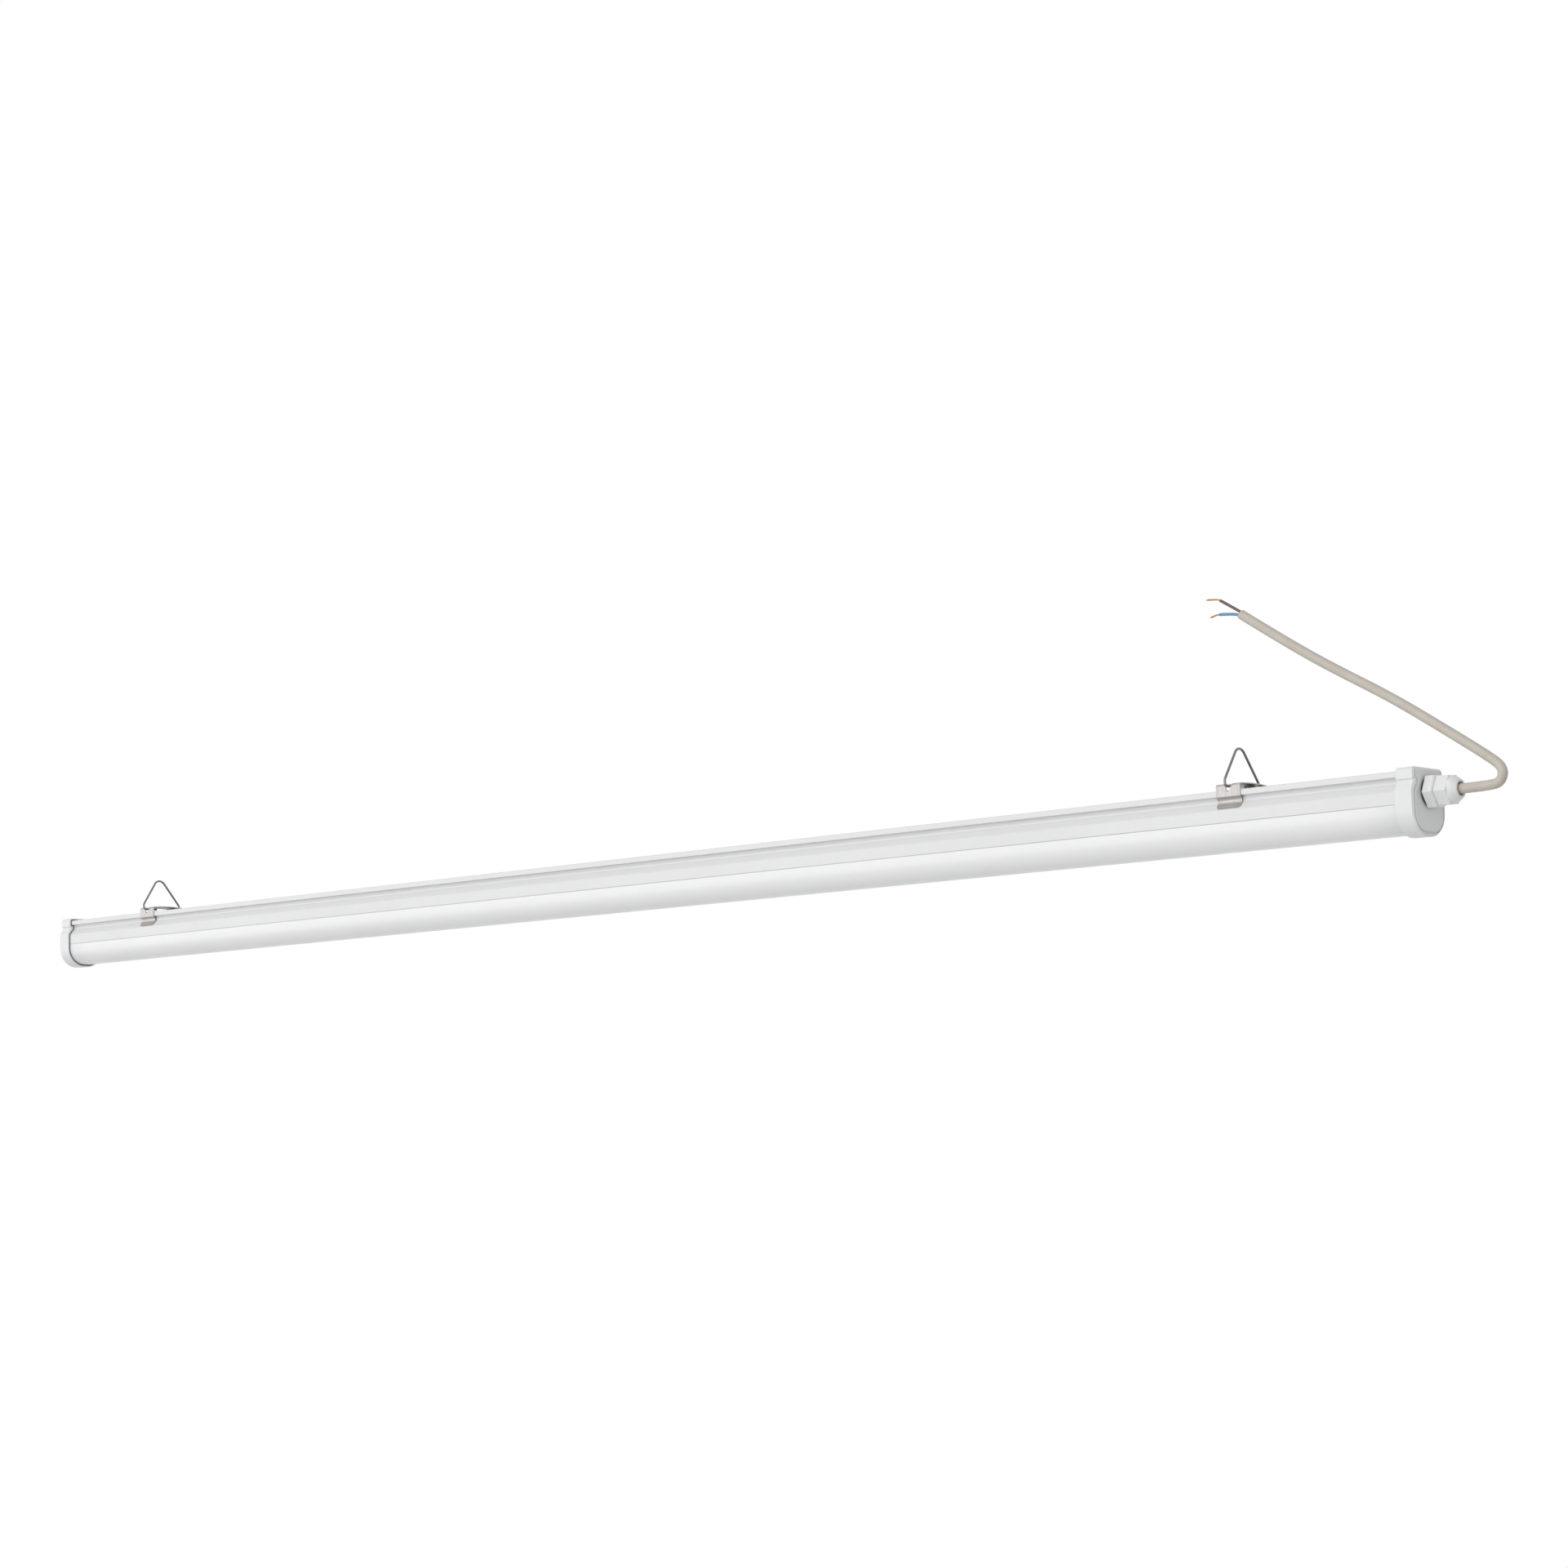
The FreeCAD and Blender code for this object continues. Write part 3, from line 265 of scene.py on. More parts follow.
class Lines(Effect):
    """Fine lines in one direction: drawn by a die, or left by a brush."""

    title = "lines"
    inputs = {
        "Vector": PLACE, "Stretch": ("NodeSocketVector", Run.ALONG_TUBE.value),
        "Scale": number(900.0), "Depth": number(0.3),
    }
    coarseness = 0.3  # scale of the coarse layer
    shares = (0.5, 0.5)  # of the coarse and of the fine layer

    def draw(self, sketch: Sketch, given: Sockets) -> Sockets:
        """Draw stretched noise in a coarse and a fine layer.

        Args:
            sketch: the tree.
            given: the inputs.

        Returns:
            What feeds the outputs.
        """
        place = sketch.stretch(given["Vector"], given["Stretch"])
        coarse = sketch.noise(place, sketch.times(given["Scale"], self.coarseness))
        fine = sketch.noise(place, given["Scale"], detail=4.0, roughness=0.7)
        mask = sketch.total(coarse, fine, self.shares)
        return {"Mask": mask, "Height": sketch.times(mask, given["Depth"])}


class Patches(Effect):
    """Broad, faint patches in the colour, as in every batch of plastic or steel."""

    title = "patches"
    inputs = {"Vector": PLACE, "Scale": number(14.0)}
    outputs = ("Mask",)
    fineness = 9.0  # scale of the small patches
    shares = (0.7, 0.3)  # of the broad and of the small patches
    contrast = (0.36, 0.64)  # the stretch of noise that fills the mask

    def draw(self, sketch: Sketch, given: Sockets) -> Sockets:
        """Draw two layers of soft noise.

        Args:
            sketch: the tree.
            given: the inputs.

        Returns:
            What feeds the outputs.
        """
        broad = sketch.noise(given["Vector"], given["Scale"], detail=3.0, roughness=0.55)
        small = sketch.noise(given["Vector"], sketch.times(given["Scale"], self.fineness))
        return {"Mask": sketch.span(sketch.total(broad, small, self.shares), *self.contrast)}


class Scratches(Effect):
    """A few hair-fine scratches from handling."""

    title = "scratches"
    inputs = {"Vector": PLACE, "Scale": number(60.0), "Amount": number(0.5)}
    outputs = ("Mask",)
    bending = 0.4  # scale of the noise that bends them
    lengthening = (0.35, 1.0, 1.3)
    width = 0.012  # share of a cell
    contrast = (0.56, 0.64)  # where the noise keeps them

    def draw(self, sketch: Sketch, given: Sockets) -> Sockets:
        """Draw the edges of long bent cells and keep a few of them.

        Args:
            sketch: the tree.
            given: the inputs.

        Returns:
            What feeds the outputs.
        """
        vector, scale = given["Vector"], given["Scale"]
        bend = sketch.noise(vector, sketch.times(scale, self.bending), detail=1.0)
        pushed = sketch.add("ShaderNodeVectorMath", {0: vector, 1: bend}, operation="ADD")
        place = sketch.stretch(pushed.outputs[0], self.lengthening)
        edges = sketch.cells(place, scale, feature="DISTANCE_TO_EDGE")
        thin = sketch.span(edges, 0.0, self.width, 1.0, 0.0)
        kept = sketch.span(sketch.noise(vector, scale, detail=1.0), *self.contrast)
        return {"Mask": sketch.times(sketch.times(thin, kept), given["Amount"])}


class Dust(Effect):
    """A trace of dust on what faces up."""

    title = "dust"
    inputs = {"Vector": PLACE, "Normal": PLACE, "Amount": number(0.2)}
    outputs = ("Mask",)
    facing = (0.55, 0.98)  # upward part of the normal, from none to full dust
    speck_scale = 420.0
    contrast = (0.42, 0.72)  # the stretch of noise that fills the specks

    def draw(self, sketch: Sketch, given: Sockets) -> Sockets:
        """Draw speckled noise where the normal points up.

        Args:
            sketch: the tree.
            given: the inputs.

        Returns:
            What feeds the outputs.
        """
        level = sketch.span(sketch.part(given["Normal"], "Z"), *self.facing)
        noise = sketch.noise(given["Vector"], self.speck_scale, detail=4.0, roughness=0.7)
        specks = sketch.span(noise, *self.contrast)
        return {"Mask": sketch.times(sketch.times(level, specks), given["Amount"])}


class Seam(Effect):
    """Painted shadow and fine dirt in a joint, or painted shade in a groove, crease or slope, along
    a level line.
    """

    title = "seam"
    inputs = {"Vector": PLACE, "Level": number(0.0), "Reach": number(0.4 * MM)}
    softness = 0.6  # share of the reach in which it fades
    sinking = -3.0  # its middle's height, beside the grain's
    noise_scale = 90.0
    unevenness = (0.3, 0.7, 0.75, 1.0)  # noise and strength, each from and to

    def draw(self, sketch: Sketch, given: Sockets) -> Sockets:
        """Draw a soft band around the level, a little uneven along its length.

        Args:
            sketch: the tree.
            given: the inputs.

        Returns:
            What feeds the outputs.
        """
        height = sketch.part(given["Vector"], "Z")
        away = sketch.math("ABSOLUTE", sketch.math("SUBTRACT", height, given["Level"]))
        band = sketch.math("SUBTRACT", 1.0, sketch.math("DIVIDE", away, given["Reach"]))
        band = sketch.span(band, 0.0, self.softness)
        noise = sketch.noise(given["Vector"], self.noise_scale, detail=3.0, roughness=0.6)
        uneven = sketch.span(noise, *self.unevenness)
        return {"Mask": sketch.times(band, uneven), "Height": sketch.times(band, self.sinking)}


class PaintedEndShade(Effect):
    """Painted shade towards the ends of the body, where the caps keep the light out of it."""

    title = "painted end shade"
    inputs = {"Vector": PLACE, "Inner": number(0.695), "Outer": number(0.738)}  # metres out
    outputs = ("Mask",)

    def draw(self, sketch: Sketch, given: Sockets) -> Sockets:
        """Draw a mask that grows from the inner to the outer distance, towards both ends.

        Args:
            sketch: the tree.
            given: the inputs.

        Returns:
            What feeds the outputs.
        """
        along = sketch.math("ABSOLUTE", sketch.part(given["Vector"], "X"))
        share = sketch.math("SUBTRACT", along, given["Inner"])
        reach = sketch.math("SUBTRACT", given["Outer"], given["Inner"])
        share = sketch.span(sketch.math("DIVIDE", share, reach), 0.0, 1.0)
        return {"Mask": sketch.times(share, share)}


class Surface(Sketch):
    """A material being drawn, with its shader and its object coordinates."""

    def __init__(self, name: str) -> None:
        """Start a material.

        Args:
            name: its name.
        """
        self.material = bpy.data.materials.new(name)
        self.material.use_nodes = True
        super().__init__(self.material.node_tree)
        self.shader = self.tree.nodes["Principled BSDF"]
        self.place = self.add("ShaderNodeTexCoord").outputs["Object"]

    def effect(self, kind: type[Effect], **feeds: Feed) -> Sockets:
        """Place an effect at this surface's own coordinates."""
        return kind().place(self, Vector=self.place, **feeds)

    def vary(
        self, mask: Socket, middle: float, less: float, more: float, reach: Pair = (0.0, 1.0)
    ) -> Socket:
        """Socket with a value that a mask varies around its middle."""
        return self.span(mask, *reach, middle - less, middle + more)

    def keep(self, values: dict[str, float]) -> None:
        """Set what is the same all over the surface, by the names of the shader's inputs."""
        for name, value in values.items():
            self.shader.inputs[name].default_value = value

    def finish(
        self, tone: Socket, rough: Socket, height: Socket, depth: float
    ) -> bpy.types.Material:
        """Feed the shader what varies over the surface.

        Args:
            tone: the colour.
            rough: the roughness.
            height: the height, about 0 to 1.
            depth: how far that is, in metres.

        Returns:
            The material.
        """
        self.feed(self.shader.inputs["Base Color"], tone)
        self.feed(self.shader.inputs["Roughness"], rough)
        bump = self.add("ShaderNodeBump", {"Height": height, "Strength": 1.0, "Distance": depth})
        self.feed(self.shader.inputs["Normal"], bump.outputs["Normal"])
        return self.material


@dataclass(frozen=True)
class PaintedShade:
    """A soft band of painted shade that runs level along a surface."""

    level: float
    reach: float
    tone: Colour


@dataclass(frozen=True)
class Plastic:
    """Moulded or extruded plastic."""

    name: str
    colour: Colour
    shade: Colour
    roughness: float = 0.42
    uneven: Pair = (0.04, 0.05)  # how much less and more rough in places
    grain_scale: float = 2600.0
    grain: float = 0.5
    line_scale: float = 700.0
    lines: float = 0.0
    depth: float = 0.03 * MM
    coat: float = 0.0
    coat_roughness: float = 0.25
    milk: float = 0.0  # share of the light that spreads under the skin
    milk_reach: float = 2 * MM
    dust: float = 0.12
    dust_roughness: float = 0.4  # what dust adds
    scratches: float = 0.5
    scratch_roughness: float = 0.15  # what a scratch adds
    scratch_depth: float = 0.5
    grain_tone: float = 0.35  # share of the shade in the grain
    # level of a joint with painted shadow and fine dirt in it
    seam_level: float | None = None
    # bands of painted shade along level lines
    painted_shades: tuple[PaintedShade, ...] = ()
    # painted shade towards the ends, where the caps keep the light out
    painted_end_tone: Colour | None = None

    def marked(self, surface: Surface, tone: Socket) -> Socket:
        """Tone with the bands of painted shade and the painted shade at the ends that this plastic
        has.

        Args:
            surface: the material.
            tone: the tone without them.

        Returns:
            The output socket.
        """
        # Bands of painted shade along level lines.
        for shade in self.painted_shades:
            band = surface.effect(Seam, Level=shade.level, Reach=shade.reach)["Mask"]
            tone = surface.blend(band, tone, shade.tone)
        # Painted shade towards both ends.
        if self.painted_end_tone:
            tone = surface.blend(surface.effect(PaintedEndShade)["Mask"], tone, self.painted_end_tone)
        return tone

    def material(self) -> bpy.types.Material:
        """Draw the plastic's material.

        Returns:
            The material.
        """
        surface = Surface(self.name)
        patches = surface.effect(Patches)["Mask"]
        grain = surface.effect(Grain, Scale=self.grain_scale, Depth=self.grain)
        lines = surface.effect(Lines, Scale=self.line_scale, Depth=self.lines)
        hairs = surface.effect(Scratches, Amount=self.scratches)["Mask"]
        normal = surface.add("ShaderNodeNewGeometry").outputs["Normal"]
        dust = surface.effect(Dust, Normal=normal, Amount=self.dust)["Mask"]
        tone = surface.blend(patches, self.colour, self.shade)
        share = surface.span(grain["Mask"], *GRAIN_REACH, 0.0, self.grain_tone)
        tone = surface.blend(share, tone, self.shade)
        tone = surface.blend(dust, tone, DUST_TONE)
        height = surface.math("ADD", grain["Height"], lines["Height"])
        # Painted shadow and fine dirt along the joint.
        if self.seam_level is not None:
            seam = surface.effect(Seam, Level=self.seam_level)
            tone = surface.blend(seam["Mask"], tone, SEAM_TONE)
            height = surface.math("ADD", height, seam["Height"])
        rough = surface.vary(patches, self.roughness, *self.uneven)
        rough = surface.plus(rough, dust, self.dust_roughness)
        rough = surface.plus(rough, hairs, self.scratch_roughness)
        height = surface.math("SUBTRACT", height, surface.times(hairs, self.scratch_depth))
        surface.keep({
            "Coat Weight": self.coat, "Coat Roughness": self.coat_roughness,
            "Subsurface Weight": self.milk, "Subsurface Scale": self.milk_reach,
        })
        return surface.finish(self.marked(surface, tone), rough, height, self.depth)


@dataclass(frozen=True)
class Steel:
    """Bare metal: stainless sheet, wire or plated screws."""

    name: str
    colour: Colour
    shade: Colour
    roughness: float = 0.3
    uneven: Pair = (0.08, 0.1)
    run: Run = Run.AROUND_TUBE
    line_scale: float = 2400.0
    lines: float = 0.6
    depth: float = 0.02 * MM
    patch_scale: float = 60.0
    patch_tone: float = 0.5  # share of the shade in the patches
    line_tone: float = 0.5  # share of the shade in the lines
    line_reach: Pair = (0.35, 0.65)
    gloss_reach: Pair = (0.3, 0.7)
    scratch_scale: float = 260.0
    scratch_roughness: float = 0.2  # what a scratch adds
    scratch_depth: float = 0.6

    def material(self) -> bpy.types.Material:
        """Draw the metal's material.

        Returns:
            The material.
        """
        surface = Surface(self.name)
        patches = surface.effect(Patches, Scale=self.patch_scale)["Mask"]
        lines = surface.effect(
            Lines, Stretch=self.run.value, Scale=self.line_scale, Depth=self.lines
        )
        hairs = surface.effect(Scratches, Scale=self.scratch_scale, Amount=1.0)["Mask"]
        marks = surface.span(lines["Mask"], *self.line_reach, 0.0, self.line_tone)
        share = surface.math("ADD", surface.times(patches, self.patch_tone), marks)
        tone = surface.blend(share, self.colour, self.shade)
        rough = surface.vary(lines["Mask"], self.roughness, *self.uneven, self.gloss_reach)
        rough = surface.plus(rough, hairs, self.scratch_roughness)
        sunk = surface.times(hairs, self.scratch_depth)
        surface.keep({"Metallic": 1.0})
        height = surface.math("SUBTRACT", lines["Height"], sunk)
        return surface.finish(tone, rough, height, self.depth)


@dataclass(frozen=True)
class Rubber:
    """Matt rubber with a bloom."""

    name: str
    colour: Colour
    bloom: Colour
    roughness: float = 0.75
    uneven: Pair = (0.08, 0.1)
    patch_scale: float = 110.0
    grain_scale: float = 3800.0
    least_bloom: float = 0.3  # share of the bloom in the grain's pits
    bloom_reach: Pair = (0.3, 0.7)
    depth: float = 0.04 * MM

    def material(self) -> bpy.types.Material:
        """Draw the rubber's material.

        Returns:
            The material.
        """
        surface = Surface(self.name)
        patches = surface.effect(Patches, Scale=self.patch_scale)["Mask"]
        grain = surface.effect(Grain, Scale=self.grain_scale, Depth=1.0)
        specks = surface.span(grain["Mask"], *self.bloom_reach, self.least_bloom, 1.0)
        tone = surface.blend(surface.times(patches, specks), self.colour, self.bloom)
        rough = surface.vary(grain["Mask"], self.roughness, *self.uneven, GRAIN_REACH)
        return surface.finish(tone, rough, grain["Height"], self.depth)


@dataclass(frozen=True)
class Sheath:
    """The soft, slightly waxy skin of a cable or a core."""

    name: str
    colour: Colour
    shade: Colour
    roughness: float = 0.42
    uneven: Pair = (0.07, 0.09)
    patch_scale: float = 160.0
    grain_scale: float = 1900.0
    grain: float = 0.6
    ripple_scale: float = 240.0
    ripples: float = 2.0  # their height beside the grain's
    smear_scale: float = 150.0
    smears: float = 0.6
    smear_reach: Pair = (0.55, 0.75)
    tone_shares: Pair = (0.7, 0.5)  # of the shade, in the patches and in the smears
    depth: float = 0.05 * MM

    def material(self) -> bpy.types.Material:
        """Draw the skin's material.

        Returns:
            The material.
        """
        surface = Surface(self.name)
        patches = surface.effect(Patches, Scale=self.patch_scale)["Mask"]
        grain = surface.effect(Grain, Scale=self.grain_scale, Depth=self.grain)
        ripples = surface.noise(surface.place, self.ripple_scale, roughness=0.4)
        noise = surface.noise(surface.place, self.smear_scale, detail=5.0, roughness=0.7)
        smears = surface.span(noise, *self.smear_reach, 0.0, self.smears)
        share = surface.total(patches, smears, self.tone_shares)
        tone = surface.blend(share, self.colour, self.shade)
        rough = surface.vary(grain["Mask"], self.roughness, *self.uneven, GRAIN_REACH)
        height = surface.plus(grain["Height"], ripples, self.ripples)
        return surface.finish(tone, rough, height, self.depth)


@dataclass(frozen=True)
class Lacquer:
    """Lacquer, tape or resin over something else, with a print or a weave under it."""

    name: str
    colour: Colour
    shade: Colour
    roughness: float = 0.25
    uneven: Pair = (0.05, 0.08)
    cell_scale: float = 420.0
    coat: float = 0.6
    patch_scale: float = 90.0
    grain_scale: float = 3000.0
    grain: float = 0.3
    cell_reach: Pair = (0.35, 0.5)  # distances between which the weave grows
    tone_shares: Pair = (0.5, 0.4)  # of the shade, in the weave and in the patches
    depth: float = 0.02 * MM

    def material(self) -> bpy.types.Material:
        """Draw the lacquer's material.

        Returns:
            The material.
        """
        surface = Surface(self.name)
        patches = surface.effect(Patches, Scale=self.patch_scale)["Mask"]
        grain = surface.effect(Grain, Scale=self.grain_scale, Depth=self.grain)
        cells = surface.cells(surface.place, self.cell_scale, distance="MANHATTAN")
        tracks = surface.span(cells, *self.cell_reach)
        share = surface.total(tracks, patches, self.tone_shares)
        tone = surface.blend(share, self.colour, self.shade)
        rough = surface.vary(patches, self.roughness, *self.uneven)
        surface.keep({"Coat Weight": self.coat})
        height = surface.math("ADD", grain["Height"], tracks)
        return surface.finish(tone, rough, height, self.depth)


Finish = Plastic | Steel | Rubber | Sheath | Lacquer


def put(item: bpy.types.Object) -> bpy.types.Object:
    """Link a new object to the scene and give it back."""
    bpy.context.scene.collection.objects.link(item)
    return item


def dress(finish: Finish, *nodes: str) -> bpy.types.Material:
    """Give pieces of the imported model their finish.

    Args:
        finish: the finish.
        nodes: the pieces' names.

    Returns:
        The material.
    """
    material = finish.material()
    for node in nodes:
        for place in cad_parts[node].material_slots:
            place.material = material
        LOG.info("%s: %s", node, material.name)
    return material


def new_piece(
    name: str, data: bpy.types.ID, material: bpy.types.Material
) -> bpy.types.Object:
    """Put a new mesh or curve on the light's fixed body.

    Args:
        name: the piece's name.
        data: its mesh or curve, in place.
        material: its material.

    Returns:
        The new object.
    """
    data.materials.append(material)
    piece = put(bpy.data.objects.new(name, data))
    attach(piece, FIXTURE)
    LOG.info("%s: new piece, %s", name, material.name)
    return piece


def smooth_line(
    name: str, points: list[Vector], radius: float = 0.0, sizes: tuple[float, ...] = ()
) -> bpy.types.Curve:
    """One smooth open line near its control points.

    Args:
        name: the curve's name.
        points: the control points.
        radius: of the tube around the line, 0 for none.
        sizes: shares of that radius at the points, none for the whole radius.

    Returns:
        The curve.
    """
    curve = bpy.data.curves.new(name, "CURVE")
    curve.dimensions = "3D"
    curve.resolution_u = CURVE_STEPS
    spline = curve.splines.new("NURBS")
    spline.points.add(len(points) - 1)
    for index, point in enumerate(points):
        spline.points[index].co = (*point, 1.0)
        spline.points[index].radius = sizes[index] if sizes else 1.0
    spline.order_u = CURVE_ORDER
    spline.use_endpoint_u = True
    if radius:
        curve.bevel_depth = radius
        curve.bevel_resolution = TUBE_STEPS
        curve.use_fill_caps = True
    return curve


def followed_points(points: list[Vector]) -> list[Vector]:
    """Points along the smooth line of some control points, in order.

    Args:
        points: the control points.

    Returns:
        The points on the line.
    """
    curve = smooth_line("route", points)
    holder = bpy.data.objects.new("route", curve)
    mesh = bpy.data.meshes.new_from_object(holder)
    found = [vertex.co.copy() for vertex in mesh.vertices]
    bpy.data.objects.remove(holder)
    bpy.data.meshes.remove(mesh)
    bpy.data.curves.remove(curve)
    return found


def turned_mesh(
    name: str, profile: list[Pair], centre: Vector, axis: Vector, steps: int
) -> bpy.types.Mesh:
    """Mesh turned about an axis.

    Args:
        name: the mesh's name.
        profile: (radius, distance along the axis) points, from the outside in.
        centre: where the axis starts.
        axis: its direction.
        steps: faces around.

    Returns:
        The mesh, in place.
    """
    shape = bmesh.new()
    corners = [shape.verts.new((radius, 0.0, along)) for radius, along in profile]
    edges = [shape.edges.new(pair) for pair in zip(corners, corners[1:])]
    bmesh.ops.spin(
        shape, geom=corners + edges, cent=(0, 0, 0), axis=(0, 0, 1), angle=2 * math.pi,
        steps=steps, use_merge=True,
    )
    bmesh.ops.remove_doubles(shape, verts=shape.verts[:], dist=SAME_PLACE)
    bmesh.ops.recalc_face_normals(shape, faces=shape.faces[:])
    turn = Vector((0, 0, 1)).rotation_difference(axis).to_matrix().to_4x4()
    bmesh.ops.transform(shape, matrix=Matrix.Translation(centre) @ turn, verts=shape.verts[:])
    for face in shape.faces:
        face.smooth = True
    mesh = bpy.data.meshes.new(name)
    shape.to_mesh(mesh)
    shape.free()
    return mesh


@dataclass
class TubeBody:
    """The white extrusion above and the milky U below."""

    joint: float = -51.436884 * MM  # level of the line where they meet
    # Bands of painted shade along the housing, where the flange shades it.
    painted_shades: tuple[PaintedShade, ...] = (
        PaintedShade(-34.75 * MM, 2.2 * MM, (0.70, 0.70, 0.703)),  # painted shadow of the flange in the groove under it
        PaintedShade(-37.95 * MM, 0.8 * MM, (0.70, 0.70, 0.703)),  # painted shade in the crease above the slope
        PaintedShade(-39.9 * MM, 3.4 * MM, (0.785, 0.787, 0.79)),  # the slope
    )
    housing: Plastic = Plastic(
        "housing_white", (0.83, 0.832, 0.835), (0.805, 0.807, 0.81), grain_scale=3000.0,
        grain=0.25, line_scale=600.0, lines=0.7, depth=0.02 * MM, coat=0.1, seam_level=joint,
        painted_shades=painted_shades,
    )
    # The diffuser darkens towards its ends with painted shade.
    diffuser: Plastic = Plastic(
        "diffuser_milk", (0.925, 0.925, 0.927), (0.91, 0.91, 0.912), roughness=0.36,
        grain_scale=3400.0, grain=0.2, line_scale=500.0, lines=0.6, depth=0.02 * MM, coat=0.25,
        milk=0.15, seam_level=joint, painted_end_tone=(0.80, 0.805, 0.81),
    )

    def build(self) -> None:
        """Dress the two extrusions."""
        dress(self.housing, "housing")
        dress(self.diffuser, "diffuser")


@dataclass
class EndCaps:
    """The two moulded caps and the rubber lips at their mouths."""

    plastic: Plastic = Plastic(
        "cap_white", (0.86, 0.865, 0.87), (0.83, 0.835, 0.84), roughness=0.38,
        grain_scale=2400.0, grain=0.7,
    )
    rubber: Rubber = Rubber("gasket_rubber", (0.05, 0.05, 0.055), (0.09, 0.09, 0.095))

    def build(self) -> None:
        """Dress the caps and their gaskets."""
        dress(self.plastic, "end_cap_feed", "end_cap_blind")
        dress(self.rubber, "gasket_feed", "gasket_blind")


@dataclass
class CableGland:
    """The gland's hexagonal body, domed nut and what is between and behind them."""

    nylon: Plastic = Plastic(
        "gland_nylon", (0.87, 0.875, 0.88), (0.84, 0.845, 0.85), roughness=0.34,
        grain_scale=2200.0, grain=0.8, coat=0.1,
    )
    rubber: Rubber = Rubber("gland_rubber", (0.04, 0.04, 0.042), (0.08, 0.08, 0.085))

    def build(self) -> None:
        """Dress the gland's pieces."""
        dress(self.nylon, "gland_body", "gland_nut", "gland_lock_nut")
        dress(self.rubber, "gland_washer", "gland_seal")


@dataclass
class LightBoards:
    """The folded tray, the light boards and what sits on them."""

    tray: Plastic = Plastic(
        "tray_enamel", (0.84, 0.84, 0.83), (0.80, 0.80, 0.79), roughness=0.36,
        grain_scale=1500.0, grain=0.9, depth=0.04 * MM, coat=0.3,
    )
    board: Lacquer = Lacquer(
        "board_lacquer", (0.86, 0.86, 0.84), (0.78, 0.78, 0.76), roughness=0.34
    )
    chips: Lacquer = Lacquer(
        "chip_resin", (0.90, 0.74, 0.26), (0.86, 0.66, 0.20), roughness=0.2,
        cell_scale=1600.0, coat=1.0,
    )
    rivets: Plastic = Plastic("rivet_nylon", (0.85, 0.85, 0.85), (0.8, 0.8, 0.8), roughness=0.4)
    links: Plastic = Plastic("link_plastic", (0.84, 0.84, 0.82), (0.78, 0.78, 0.76), roughness=0.45)

    def build(self) -> None:
        """Dress the tray, the boards and the small pieces."""
        dress(self.tray, "gear_tray")
        dress(self.board, "led_board_1", "led_board_2", "led_board_3")
        dress(self.chips, "led_chips_1", "led_chips_2", "led_chips_3")
        dress(self.rivets, "board_rivets")
        dress(self.links, "board_links")


@dataclass
class Driver:
    """The driver's case, its board and the parts on it."""

    case: Plastic = Plastic(
        "driver_case", (0.78, 0.79, 0.79), (0.72, 0.73, 0.73), roughness=0.5,
        grain_scale=1300.0, grain=1.0,
    )
    board: Lacquer = Lacquer(
        "circuit_board", (0.05, 0.22, 0.08), (0.03, 0.14, 0.05), roughness=0.3, cell_scale=260.0
    )
    tape: Lacquer = Lacquer(
        "transformer_tape", (0.80, 0.62, 0.10), (0.70, 0.52, 0.07), cell_scale=140.0, coat=0.5
    )
    winding: Steel = Steel(
        "choke_winding", (0.80, 0.42, 0.20), (0.55, 0.26, 0.12), line_scale=1800.0, lines=1.0,
        depth=0.1 * MM,
    )
    sleeve: Lacquer = Lacquer(
        "capacitor_sleeve", (0.03, 0.04, 0.07), (0.05, 0.06, 0.09), cell_scale=90.0, coat=0.8
    )

    def build(self) -> None:
        """Dress the driver's pieces."""
        dress(self.case, "driver_base", "driver_lid")
        dress(self.board, "driver_board")
        dress(self.tape, "driver_transformer")
        dress(self.winding, "driver_choke")
        dress(self.sleeve, "driver_capacitors")


@dataclass
class Wiring:
    """The terminal block, its screws and the leads inside the tube."""

    block: Plastic = Plastic("terminal_white", (0.82, 0.82, 0.80), (0.77, 0.77, 0.75))
    screws: Steel = Steel(
        "screw_steel", (0.66, 0.65, 0.63), (0.5, 0.49, 0.47), run=Run.EVERYWHERE,
        line_scale=1500.0,
    )
    brown: Sheath = Sheath("lead_brown", (0.12, 0.055, 0.03), (0.085, 0.04, 0.024))
    blue: Sheath = Sheath("lead_blue", (0.10, 0.30, 0.58), (0.07, 0.22, 0.46))
    red: Sheath = Sheath("lead_red", (0.50, 0.035, 0.03), (0.38, 0.03, 0.025))
    black: Sheath = Sheath("lead_black", (0.03, 0.03, 0.032), (0.05, 0.05, 0.052))

    def build(self) -> None:
        """Dress the block, the screws and the leads."""
        dress(self.block, "terminal_block")
        dress(self.screws, "terminal_screws", "tray_screws")
        dress(self.brown, "lead_live_in", "lead_live_driver")
        dress(self.blue, "lead_neutral_in", "lead_neutral_driver")
        dress(self.red, "lead_plus")
        dress(self.black, "lead_minus")


@dataclass
class Hanging:
    """The two spring clips on the flange and the wire hangers that swing in them."""

    sheet: Steel = Steel("clip_steel", (0.47, 0.455, 0.44), (0.37, 0.357, 0.345), roughness=0.36)
    wire: Steel = Steel(
        "wire_steel", (0.24, 0.24, 0.236), (0.15, 0.15, 0.148), roughness=0.24,
        run=Run.EVERYWHERE, line_scale=2600.0, lines=0.8,
    )

    def build(self) -> None:
        """Dress the clips and the hangers."""
        dress(self.sheet, "clip_right", "clip_left")
        dress(self.wire, "hanger_right", "hanger_left")


